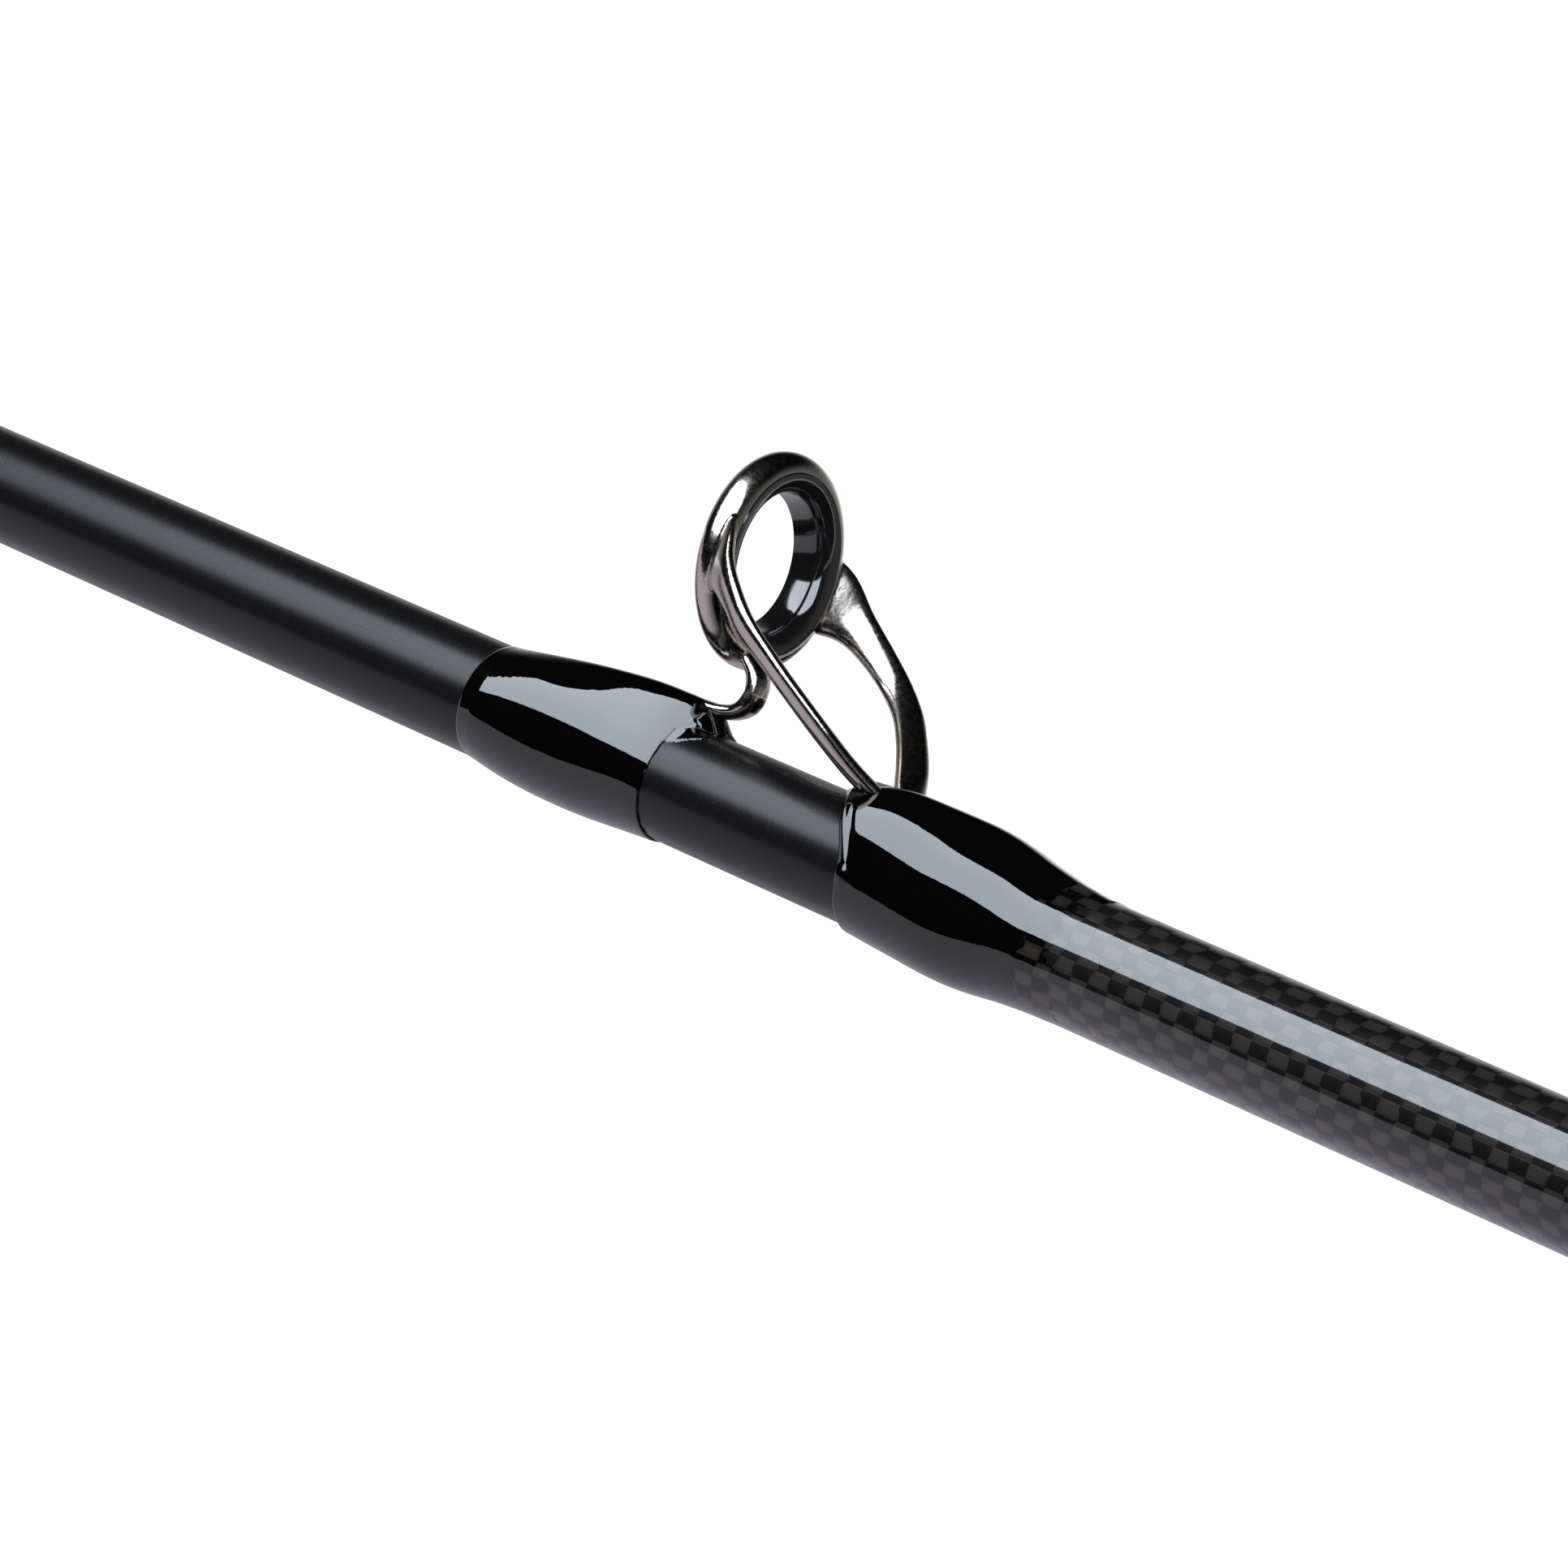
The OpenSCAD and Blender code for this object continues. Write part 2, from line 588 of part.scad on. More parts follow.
// hook keeper: a bent wire loop whose feet lie along the blank
module hook_keeper() {
  w = keeper_wire / 2;
  z = sleeve_r(keeper_x - 20) + w + 0.05;
  top = z + keeper_height + w;
  bend = 2.2;
  half = keeper_length / 2 + w;
  foot = 9;
  color(trim_metal) translate([keeper_x, 0, 0]) {
    for (turn = [0, 180]) rotate([0, 0, turn]) {
      // foot
      translate([half + bend, 0, z]) along_rod() cylinder(r = w, h = foot, $fn = 24);
      // bend from the foot into the upright
      translate([half + bend, 0, z + bend]) rotate([90, 0, 0])
        rotate_extrude(angle = 90, start = 180, $fn = 48) translate([bend, 0]) circle(r = w, $fn = 24);
      // upright
      translate([half, 0, z + bend]) cylinder(r = w, h = top - z - 2 * bend, $fn = 24);
      // bend from the upright into the top
      translate([half - bend, 0, top - bend]) rotate([90, 0, 0])
        rotate_extrude(angle = 90, start = 0, $fn = 48) translate([bend, 0]) circle(r = w, $fn = 24);
    }
    translate([bend - half, 0, top]) along_rod() cylinder(r = w, h = 2 * (half - bend), $fn = 24);
  }
}

// windings with epoxy over the keeper's two feet
module hook_keeper_wrap() {
  w = keeper_wire / 2;
  half = keeper_length / 2 + w + 2.2;
  color(gloss_black) difference() {
    for (side = [-1, 1]) {
      x0 = keeper_x + side * (half + 6) - 5.2;
      r = sleeve_r(x0) + 0.6;
      hull() {
        translate([x0, 0, 0]) along_rod() cylinder(r = r, h = 10.4, $fn = 48);
        translate([x0 + 0.6, 0, r + keeper_wire + 0.1 - 1.3]) along_rod() cylinder(r = 1.3, h = 9.2, $fn = 32);
      }
    }
    turned([[0, keeper_x - 40], [sleeve_r(keeper_x - 40) + 0.02, keeper_x - 40],
      [sleeve_r(keeper_x + 40) + 0.02, keeper_x + 40], [0, keeper_x + 40]]);
    hook_keeper();
  }
}

// ---------------------------------------------------------------- tip-top

tip_ring_bore_d = 3.8;
tip_tube_r = tip_d / 2 + 0.75;
tip_ring_z = tip_tube_r + 4.1;
tip_wire = 0.72;
tip_ring_r = tip_ring_bore_d / 2 + 0.87;
tip_lean = 20;
module at_tip_ring() {
  translate([rod_length + 3, 0, tip_ring_z]) rotate([0, 90 + tip_lean, 0]) children();
}

// tube on the tip, ring, and three wires between them
module tip_top_frame() {
  color(trim_metal) difference() {
    union() {
      turned([[0, tube_x], [tip_tube_r, tube_x], [tip_tube_r, rod_length - 0.6], [tip_tube_r - 0.6, rod_length],
        [0, rod_length]]);
      at_tip_ring() rotate_extrude($fn = 64) translate([tip_ring_r, 0]) circle(r = tip_wire, $fn = 24);
      strip([
        [[rod_length - 5, 0, tip_tube_r - 0.3], 1.4, 0.7, [0, 0, 1]],
        [[rod_length - 0.5, 0, tip_tube_r + 0.1], 1.4, 0.8, unit([-0.2, 0, 1])],
        [[rod_length + 2.0, 0, tip_ring_z - tip_ring_r + 0.1], 1.4, 0.9, unit([-0.5, 0, 1])]
      ]);
      for (side = [-1, 1]) strip([
        [[rod_length - 10, side * 0.6, tip_tube_r - 0.35], 1.0, 0.9, [0, 0, 1]],
        [[rod_length - 5.5, side * 1.6, tip_tube_r + 1.0], 1.0, 0.9, unit([-0.6, 0, 1])],
        [[rod_length - 1, side * 2.5, tip_ring_z - 1.1], 1.0, 0.9, unit([-0.8, 0, 1])],
        [[rod_length + 2.6, side * 2.75, tip_ring_z + 0.5], 1.0, 0.9, unit([-0.8, 0, 1])]
      ]);
    }
    at_tip_ring() cylinder(r = insert_r(7) + bond_gap, h = 6, center = true, $fn = 64);
    turned([[0, tube_x - 1], [tip_r(tube_x) + face_gap, tube_x - 1],
      [tip_r(rod_length - 0.5) + face_gap, rod_length - 0.5], [0, rod_length - 0.5]]);
  }
}

module tip_top_ring() {
  k = thin(7);
  b = tip_ring_bore_d / 2;
  o = insert_r(7);
  color(ceramic) at_tip_ring() rotate_extrude($fn = 64) polygon([
    [b, 0.6 * k], [b, -1.0 * k], [b + 0.3 * k, -1.35 * k], [o, -1.1 * k], [o, 1.0 * k], [b + 0.3 * k, 1.1 * k]
  ]);
}

module tip_top_wrap() {
  x0 = tube_x - 9;
  x1 = tube_x - face_gap;
  color(gloss_black) turned([[tip_r(x0), x0], [tip_r(x0) + coat, x0], [tip_r(x0) + 0.45, x0 + 2.5],
    [tip_tube_r, x1 - 0.6], [tip_tube_r, x1], [tip_r(x1), x1]]);
}

butt_cap();
rear_grip();
rear_grip_check();
split_grip_check();
upper_grip();
reel_seat_body();
seat_arbors();
fixed_hood();
moving_hood();
hood_liner();
lock_nut();
fore_grip();
winding_check();
hook_keeper();
hook_keeper_wrap();
butt_blank();
weave_sleeve();
ferrule_ring();
ferrule_wrap();
tip_blank();
for (n = [1:7]) {
  guide_frame(n);
  guide_ring(n);
  guide_thread(n);
  guide_epoxy(n);
}
tip_top_frame();
tip_top_ring();
tip_top_wrap();
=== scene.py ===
"""Spinning rod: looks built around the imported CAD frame.

The frame is in metres. Shapes are worked out in millimetres, because the parts are that small, and
scaled once when a piece is made.
"""
import json
import math

import bpy
import numpy as np
from mathutils import Euler, Matrix, Vector

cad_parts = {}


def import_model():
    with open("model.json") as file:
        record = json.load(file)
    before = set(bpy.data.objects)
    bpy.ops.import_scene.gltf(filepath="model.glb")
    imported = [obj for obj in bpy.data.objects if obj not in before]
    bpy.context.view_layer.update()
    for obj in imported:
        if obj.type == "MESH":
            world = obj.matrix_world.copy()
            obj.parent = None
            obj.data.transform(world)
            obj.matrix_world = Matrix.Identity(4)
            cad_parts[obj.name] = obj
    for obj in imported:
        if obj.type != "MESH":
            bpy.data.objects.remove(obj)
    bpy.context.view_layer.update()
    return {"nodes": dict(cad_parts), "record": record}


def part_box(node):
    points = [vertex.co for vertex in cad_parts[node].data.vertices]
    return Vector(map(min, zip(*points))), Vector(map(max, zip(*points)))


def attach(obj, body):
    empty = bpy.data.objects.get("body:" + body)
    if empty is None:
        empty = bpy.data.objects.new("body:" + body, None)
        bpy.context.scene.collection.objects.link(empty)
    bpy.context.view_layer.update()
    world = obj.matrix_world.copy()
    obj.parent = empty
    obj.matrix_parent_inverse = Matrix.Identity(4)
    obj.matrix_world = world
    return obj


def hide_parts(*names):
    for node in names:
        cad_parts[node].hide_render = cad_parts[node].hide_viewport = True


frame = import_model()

MM = 0.001
scene = bpy.context.scene

# ---------------------------------------------------------------- measures from the frame

MOUNTS = {m["name"]: m for m in frame["record"]["mounts"]}


def outline(node):
    """Outside radius of a tapering CAD node at any station, in mm, from the hull of its own points."""
    points = np.array([v.co for v in frame["nodes"][node].data.vertices]) / MM
    reach = np.hypot(points[:, 1], points[:, 2])
    rows = np.unique(np.round(np.column_stack([points[:, 0], reach]), 4), axis=0)
    hull = []
    for x, r in rows:
        while len(hull) > 1:
            (x0, r0), (x1, r1) = hull[-2:]
            if (r1 - r0) * (x - x0) > (r - r0) * (x1 - x0):
                break
            hull.pop()
        hull.append((x, r))
    stations, radii = zip(*hull)
    return lambda x: np.interp(x, stations, radii)


butt_radius = outline("butt_blank")
tip_radius = outline("tip_blank")
sleeve_radius = outline("weave_sleeve")
sleeve_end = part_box("weave_sleeve")[1].x / MM


# ---------------------------------------------------------------- mesh tools


def make_piece(name, mesh, body, slot, stands_for=(), sharp=35):
    """A piece from a mesh in mm: scaled to metres, shaded, and tied to the frame."""
    mesh.name = name
    mesh.transform(Matrix.Scale(MM, 4))
    mesh.shade_smooth()
    mesh.set_sharp_from_angle(angle=math.radians(sharp))
    piece = bpy.data.objects.new(name, mesh)
    scene.collection.objects.link(piece)
    mesh.materials.clear()
    mesh.materials.append(MATERIALS[slot])
    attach(piece, body)
    if stands_for:
        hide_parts(*stands_for)


def mesh_from(shells):
    """One mesh from several closed shells of (points, faces)."""
    points, faces = [], []
    for shell_points, shell_faces in shells:
        start = sum(len(p) for p in points)
        points.append(np.asarray(shell_points, float))
        faces += [[start + i for i in face] for face in shell_faces]
    mesh = bpy.data.meshes.new("shape")
    mesh.from_pydata(np.concatenate(points).tolist(), [], faces)
    mesh.update()
    return mesh


def grid_faces(rows, columns, closed_rows=False):
    """Quads over rows of points whose columns close on themselves."""
    last = rows if closed_rows else rows - 1
    return [
        [i * columns + j, (i + 1) % rows * columns + j, (i + 1) % rows * columns + (j + 1) % columns,
         i * columns + (j + 1) % columns]
        for i in range(last) for j in range(columns)
    ]


def loft(sections):
    """Closed shell through sections of equally many points."""
    rows, columns = len(sections), len(sections[0])
    faces = grid_faces(rows, columns)
    faces.append(list(range(columns)))
    faces.append([(rows - 1) * columns + j for j in reversed(range(columns))])
    return np.concatenate(sections), faces


def lathe(profile, centre, axis, turns=96):
    """Closed shell of revolution from [radius, along] points about an axis in the XZ plane."""
    axis = np.array(axis, float)
    side = np.array([0.0, 1.0, 0.0])
    up = np.cross(axis, side)
    angles = np.linspace(0, 2 * math.pi, turns, endpoint=False)
    points = [
        centre + along * axis + radius * (math.cos(a) * up + math.sin(a) * side)
        for a in angles for radius, along in profile
    ]
    return np.array(points), grid_faces(turns, len(profile), closed_rows=True)


def smooth_rows(rows, count):
    """count rows on a smooth curve through the given ones, by Catmull-Rom over the distance along them."""
    rows = np.asarray(rows, float)
    steps = np.linalg.norm(np.diff(rows[:, :3], axis=0), axis=1)
    at = np.concatenate([[0], np.cumsum(steps)])
    slopes = np.gradient(rows, at, axis=0)
    out = []
    for t in np.linspace(0, at[-1], count):
        i = min(int(np.searchsorted(at, t, side="right")) - 1, len(rows) - 2)
        h = at[i + 1] - at[i]
        u = (t - at[i]) / h
        a, b = rows[i], rows[i + 1]
        out.append(
            (2 * u**3 - 3 * u**2 + 1) * a + (u**3 - 2 * u**2 + u) * h * slopes[i]
            + (3 * u**2 - 2 * u**3) * b + (u**3 - u**2) * h * slopes[i + 1]
        )
    return np.array(out)


def rounded_bar(width, thick, power):
    """Superellipse: the outline of a bar with full, rounded edges."""
    points = []
    for angle in np.linspace(0, 2 * math.pi, 28, endpoint=False):
        c, s = math.cos(angle), math.sin(angle)
        points.append((math.copysign(width / 2 * abs(c) ** (2 / power), c),
                       math.copysign(thick / 2 * abs(s) ** (2 / power), s)))
    return points


def strip(rows, count=48):
    """Shell of a bar through rows of [x, y, z, width, thickness, nx, ny, nz].

    The last three are the normal of its broad face.
    """
    rows = smooth_rows(rows, count)
    ways = np.gradient(rows[:, :3], axis=0)
    sections = []
    for row, along in zip(rows, ways):
        along = along / np.linalg.norm(along)
        across = np.cross(row[5:8], along)
        across /= np.linalg.norm(across)
        up = np.cross(along, across)
        section = rounded_bar(row[3], row[4], EDGE_POWER)
        sections.append(np.array([row[:3] + u * across + v * up for u, v in section]))
    return loft(sections)


def fused(shells, voxel, passes, cuts=(), keep=1.0):
    """One skin round overlapping shells: remeshed, smoothed into fillets, then cut by the given meshes."""
    worker = bpy.data.objects.new("worker", mesh_from(shells))
    scene.collection.objects.link(worker)
    remesh = worker.modifiers.new("skin", "REMESH")
    remesh.mode = "VOXEL"
    remesh.voxel_size = voxel
    relax = worker.modifiers.new("relax", "SMOOTH")
    relax.factor = 0.5
    relax.iterations = passes
    if keep < 1:
        thin = worker.modifiers.new("thin", "DECIMATE")
        thin.ratio = keep
    tools = []
    for cut in cuts:
        tool = bpy.data.objects.new("tool", mesh_from([cut]))
        scene.collection.objects.link(tool)
        difference = worker.modifiers.new("cut", "BOOLEAN")
        difference.operation = "DIFFERENCE"
        difference.solver = "MANIFOLD"
        difference.object = tool
        tools.append(tool)
    graph = bpy.context.evaluated_depsgraph_get()
    mesh = bpy.data.meshes.new_from_object(worker.evaluated_get(graph), depsgraph=graph)
    for thing in [worker, *tools]:
        bpy.data.objects.remove(thing)
    return mesh


def blur_round(values, sigma):
    """Gaussian blur along the columns, which go round the rod and so wrap."""
    reach = int(3 * sigma) + 1
    weights = np.exp(-0.5 * (np.arange(-reach, reach + 1) / sigma) ** 2)
    weights /= weights.sum()
    padded = np.pad(values, [(0, 0), (reach, reach)], mode="wrap")
    columns = values.shape[1]
    return sum(w * padded[:, k:k + columns] for k, w in enumerate(weights))


# ---------------------------------------------------------------- materials


class Nodes:
    """Nodes of a tree. Each call adds one and returns its first output."""

    def __init__(self, tree):
        self.tree = tree

    def put(self, socket, value):
        if isinstance(value, bpy.types.NodeSocket):
            self.tree.links.new(value, socket)
        elif hasattr(socket.default_value, "__len__") and not hasattr(value, "__len__"):
            socket.default_value = [value] * 3 + [1.0] * (len(socket.default_value) - 3)
        elif hasattr(value, "__len__") and len(socket.default_value) == 4 and len(value) == 3:
            socket.default_value = [*value, 1.0]
        else:
            socket.default_value = value

    def node(self, kind, settings=None, **inputs):
        made = self.tree.nodes.new("ShaderNode" + kind)
        for key, value in (settings or {}).items():
            setattr(made, key, value)
        for key, value in inputs.items():
            self.put(made.inputs[key.replace("_", " ")], value)
        return made

    def math(self, operation, a, b=0.0, clamp=False):
        made = self.tree.nodes.new("ShaderNodeMath")
        made.operation = operation
        made.use_clamp = clamp
        self.put(made.inputs[0], a)
        self.put(made.inputs[1], b)
        return made.outputs[0]

    def times(self, *values):
        total = values[0]
        for value in values[1:]:
            total = self.math("MULTIPLY", total, value)
        return total

    def ramp(self, value, low, high, to_low=0.0, to_high=1.0):
        """value eased from low to high onto to_low to to_high."""
        made = self.node("MapRange", {"interpolation_type": "SMOOTHSTEP"}, Value=value, From_Min=low,
                         From_Max=high, To_Min=to_low, To_Max=to_high)
        return made.outputs[0]


class Shader(Nodes):
    """A material whose patterns are laid out in mm."""

    def __init__(self, name):
        self.material = bpy.data.materials.new(name)
        self.material.use_nodes = True
        super().__init__(self.material.node_tree)
        self.surface = self.tree.nodes["Principled BSDF"]
        place = self.tree.nodes.new("ShaderNodeTexCoord").outputs["Object"]
        scaled = self.tree.nodes.new("ShaderNodeVectorMath")
        scaled.operation = "SCALE"
        scaled.inputs["Scale"].default_value = 1 / MM
        self.tree.links.new(place, scaled.inputs[0])
        self.place = scaled.outputs[0]

    def stretched(self, x, y, z):
        made = self.tree.nodes.new("ShaderNodeVectorMath")
        made.operation = "MULTIPLY"
        self.put(made.inputs[0], self.place)
        made.inputs[1].default_value = (x, y, z)
        return made.outputs[0]

    def noise(self, scale, detail=3.0, vector=None, roughness=0.5):
        return self.node("TexNoise", Vector=vector or self.place, Scale=scale, Detail=detail,
                         Roughness=roughness).outputs[0]

    def mix(self, factor, a, b):
        made = self.tree.nodes.new("ShaderNodeMix")
        made.data_type = "RGBA"
        self.put(made.inputs[0], factor)
        self.put(made.inputs[6], a)
        self.put(made.inputs[7], b)
        return made.outputs[2]

    def bump(self, height, millimetres, normal=None):
        made = self.node("Bump", Height=height, Distance=millimetres * MM, Strength=1.0)
        if normal is not None:
            self.put(made.inputs["Normal"], normal)
        return made.outputs[0]

    def finish(self, **inputs):
        for key, value in inputs.items():
            self.put(self.surface.inputs[key.replace("_", " ")], value)
        return self.material

    def x(self):
        return self.node("SeparateXYZ", Vector=self.place).outputs[0]

    def turn(self):
        """Angle round the rod from the guides' side, in turns from -0.5 to 0.5."""
        parts = self.node("SeparateXYZ", Vector=self.place).outputs
        return self.math("DIVIDE", self.math("ARCTAN2", parts[1], parts[2]), 2 * math.pi)


def matt_blank():
    """Satin black paint with a fine grain."""
    s = Shader("blank_graphite")
    grain = s.noise(9.0, 4.0)
    drift = s.noise(0.05, 2.0)
    return s.finish(
        Base_Color=s.mix(drift, (0.0045, 0.0045, 0.0055), (0.0070, 0.0070, 0.0080)),
        Roughness=s.ramp(grain, 0.3, 0.7, 0.26, 0.30), IOR=1.31,
        Normal=s.bump(grain, 0.004),
    )


TOW = 1.78            # length along the rod of one crossing of the weave, in mm
TOWS_ROUND = 28       # crossings round the rod, an even number so that the pattern closes
THREAD_WIDTH = 0.18   # of the winding thread, in mm
FRINGE = (0.30, 0.55)     # where the thread takes over from the weave, in mm past the sleeve's end


def weave_parts(s):
    """Colour, height and roughness of a plain carbon weave wrapped round the rod. Its colour is painted
    sheen: the tows along the rod are painted lighter, as their fibres would shine, and the tows round it
    nearly black.
    """
    along = s.math("DIVIDE", s.x(), TOW)
    round_rod = s.math("MULTIPLY", s.turn(), TOWS_ROUND)
    wobble = s.math("MULTIPLY", s.math("SUBTRACT", s.noise(0.5, 1.5), 0.5), 0.9)
    along = s.math("ADD", along, wobble)
    cells = s.math("ADD", s.math("FLOOR", along), s.math("FLOOR", round_rod))
    over = s.math("FLOORED_MODULO", cells, 2.0)
    u = s.math("FRACT", along)
    v = s.math("FRACT", round_rod)

    def hump(t):
        return s.math("SINE", s.math("MULTIPLY", t, math.pi))

    warp = s.math("MULTIPLY", s.math("POWER", hump(v), 0.3), s.math("POWER", hump(u), 0.15))
    weft = s.math("MULTIPLY", s.math("POWER", hump(u), 0.3), s.math("POWER", hump(v), 0.15))
    fibres_along = s.noise(1.0, 2.0, s.stretched(0.4, 9.0, 9.0))
    fibres_round = s.noise(1.0, 2.0, s.stretched(9.0, 0.4, 0.4))
    height = s.math("ADD", s.math("MULTIPLY", warp, over),
                    s.math("MULTIPLY", weft, s.math("SUBTRACT", 1.0, over)))
    # painted sheen: the tows along the rod are lighter, and the tows round it only faintly, as their fibres
    # would shine
    warp_sheen = s.math("MULTIPLY", s.math("MULTIPLY", over, warp), s.ramp(fibres_along, 0.2, 0.8, 0.75, 1.15))
    dim = s.math("MULTIPLY", s.math("SUBTRACT", 1.0, over), s.ramp(fibres_round, 0.3, 0.8, 0.0, 0.10))
    tone = s.math("ADD", warp_sheen, dim, clamp=True)
    # the light colour is painted sheen of the fibres, and the dark one is the weave's black
    colour = s.mix(tone, (0.0005, 0.0005, 0.0006), (0.060, 0.053, 0.050))
    return colour, height, s.ramp(tone, 0.0, 1.0, 0.55, 0.38)


def woven_carbon():
    """Carbon weave under clear gloss, with its tows' sheen painted into the base colour."""
    s = Shader("woven_carbon")
    colour, height, roughness = weave_parts(s)
    return s.finish(
        Base_Color=colour, Roughness=roughness, Normal=s.bump(height, 0.05), Specular_IOR_Level=0.06,
        Coat_Weight=1.0, Coat_Roughness=0.03, Coat_IOR=1.5,
        Coat_Normal=s.bump(s.noise(0.6, 2.0), 0.004, s.bump(height, 0.0045)),
    )


def threads_over(s):
    """Height of thread turns lying side by side along the rod."""
    turns = s.math("FRACT", s.math("DIVIDE", s.x(), THREAD_WIDTH))
    return s.math("SINE", s.math("MULTIPLY", turns, math.pi))


def winding_epoxy():
    """Black thread under thick clear epoxy, which runs out over the weave at the sleeve's end. The thread
    has painted shade in the grooves between its turns and is lighter on their crests, and the weave brings
    its painted sheen.
    """
    s = Shader("winding_epoxy")
    ridges_and_shade = threads_over(s)
    # painted shade: the thread is darker in the grooves between its turns and lighter on their crests
    black = s.mix(ridges_and_shade, (0.0008, 0.0008, 0.0009), (0.0022, 0.0022, 0.0025))
    # the weave under the coat, with its painted sheen
    weave, _, _ = weave_parts(s)
    tow = s.math("FLOOR", s.math("MULTIPLY", s.turn(), TOWS_ROUND))
    uneven = s.node("TexWhiteNoise", {"noise_dimensions": "1D"}, W=tow).outputs["Value"]
    fringe = s.math("ADD", s.times(uneven, 1.1), s.times(s.noise(0.9, 3.0), 1.6))
    start, end = FRINGE
    bare = s.ramp(s.math("ADD", s.x(), fringe), sleeve_end + start, sleeve_end + end, 1.0, 0.0)
    return s.finish(
        Base_Color=s.mix(bare, black, weave),
        Roughness=s.math("ADD", 0.45, s.math("MULTIPLY", s.noise(2.0, 2.0), 0.1)),
        Normal=s.bump(ridges_and_shade, 0.02), Specular_IOR_Level=0.0,
        Coat_Weight=1.0, Coat_Roughness=0.015, Coat_IOR=1.5, Coat_Normal=s.bump(s.noise(0.8, 2.0), 0.006),
    )


def winding_thread():
    """Black thread lying in the epoxy, with painted shade in the grooves between its turns and lighter
    crests.
    """
    s = Shader("winding_thread")
    ridges_and_shade = threads_over(s)
    return s.finish(
        # painted shade: darker between the turns and lighter on their crests
        Base_Color=s.mix(ridges_and_shade, (0.002, 0.002, 0.0022), (0.012, 0.012, 0.013)),
        Roughness=s.ramp(s.noise(4.0), 0.3, 0.7, 0.5, 0.62), Normal=s.bump(ridges_and_shade, 0.04),
    )


def guide_metal():
    """Smoked chrome with the fine unevenness of tumbled steel."""
    s = Shader("guide_metal")
    grain = s.noise(2.4, 4.0, roughness=0.65)
    patches = s.noise(0.5, 2.0)
    return s.finish(
        Base_Color=s.mix(patches, (0.335, 0.298, 0.262), (0.400, 0.357, 0.316)),
        Metallic=1.0, Roughness=s.ramp(grain, 0.3, 0.75, 0.13, 0.21), Normal=s.bump(grain, 0.010),
    )


def guide_ceramic():
    """Polished black ceramic with fine specks."""
    s = Shader("guide_ceramic")
    specks = s.noise(6.0, 3.0, roughness=0.7)
    return s.finish(
        Base_Color=s.mix(specks, (0.006, 0.006, 0.007), (0.014, 0.014, 0.016)),
        Roughness=s.ramp(specks, 0.35, 0.8, 0.05, 0.13), Normal=s.bump(specks, 0.002), IOR=1.6,
    )


def keeper_wire():
    """Bright wire with the fine lines of drawing along it."""
    s = Shader("keeper_wire")
    drawn = s.noise(1.0, 3.0, s.stretched(1.0, 14.0, 14.0))
    return s.finish(Base_Color=s.mix(drawn, (0.25, 0.23, 0.22), (0.33, 0.31, 0.30)), Metallic=1.0,
                    Roughness=s.ramp(drawn, 0.2, 0.8, 0.12, 0.22), Normal=s.bump(drawn, 0.008))


def turned_metal(name, dark, light, roughness):
    """Anodised metal with the fine lines that a lathe leaves."""
    s = Shader(name)
    lines = s.noise(1.0, 3.0, s.stretched(16.0, 0.5, 0.5))
    cloud = s.noise(0.12, 2.0)
    return s.finish(
        Base_Color=s.mix(s.math("MULTIPLY", s.math("ADD", lines, cloud), 0.5), dark, light), Metallic=1.0,
        Roughness=s.ramp(lines, 0.25, 0.75, roughness, roughness + 0.14), Normal=s.bump(lines, 0.006),
    )


def grip_foam():
    """Dense EVA foam: closed cells sanded open, with faint mottling and painted shade in the open cells."""
    s = Shader("grip_foam")
    cells = s.node("TexVoronoi", Vector=s.place, Scale=2.6).outputs["Distance"]
    fine = s.noise(5.0, 4.0)
    mottle = s.noise(0.22, 3.0)
    pore_depth_and_shade = s.ramp(cells, 0.08, 0.34)
    # painted shade: the open cells are darker as well as sunk by the bump, and the mottle is the foam's own
    tone = s.math("MULTIPLY", pore_depth_and_shade, s.ramp(mottle, 0.3, 0.7, 0.7, 1.0))
    return s.finish(
        Base_Color=s.mix(tone, (0.010, 0.010, 0.011), (0.026, 0.026, 0.028)),
        Roughness=s.ramp(fine, 0.3, 0.7, 0.78, 0.92), Normal=s.bump(fine, 0.05, s.bump(pore_depth_and_shade, 0.09)),
        Specular_IOR_Level=0.3, Sheen_Weight=0.15, Sheen_Roughness=0.5,
    )


def seat_graphite():
    """Moulded graphite-filled nylon with a satin skin and short fibres in it."""
    s = Shader("seat_graphite")
    flow = s.noise(1.0, 3.0, s.stretched(0.6, 4.0, 4.0))
    skin = s.noise(3.0, 4.0)
    return s.finish(
        Base_Color=s.mix(flow, (0.009, 0.009, 0.010), (0.020, 0.020, 0.022)),
        Roughness=s.ramp(skin, 0.3, 0.7, 0.30, 0.42), Normal=s.bump(skin, 0.012),
    )


def soft_rubber(name, low, high, ribs):
    """Matt rubber, with ribs round the rod where asked."""
    s = Shader(name)
    skin = s.noise(2.2, 4.0)
    normal = s.bump(skin, 0.03)
    if ribs:
        wave = s.math("SINE", s.math("MULTIPLY", s.x(), 2 * math.pi / ribs))
        normal = s.bump(s.ramp(wave, -0.2, 0.6), 0.12, normal)
    return s.finish(
        Base_Color=s.mix(skin, low, high), Roughness=s.ramp(skin, 0.3, 0.7, 0.6, 0.75), Normal=normal,
    )


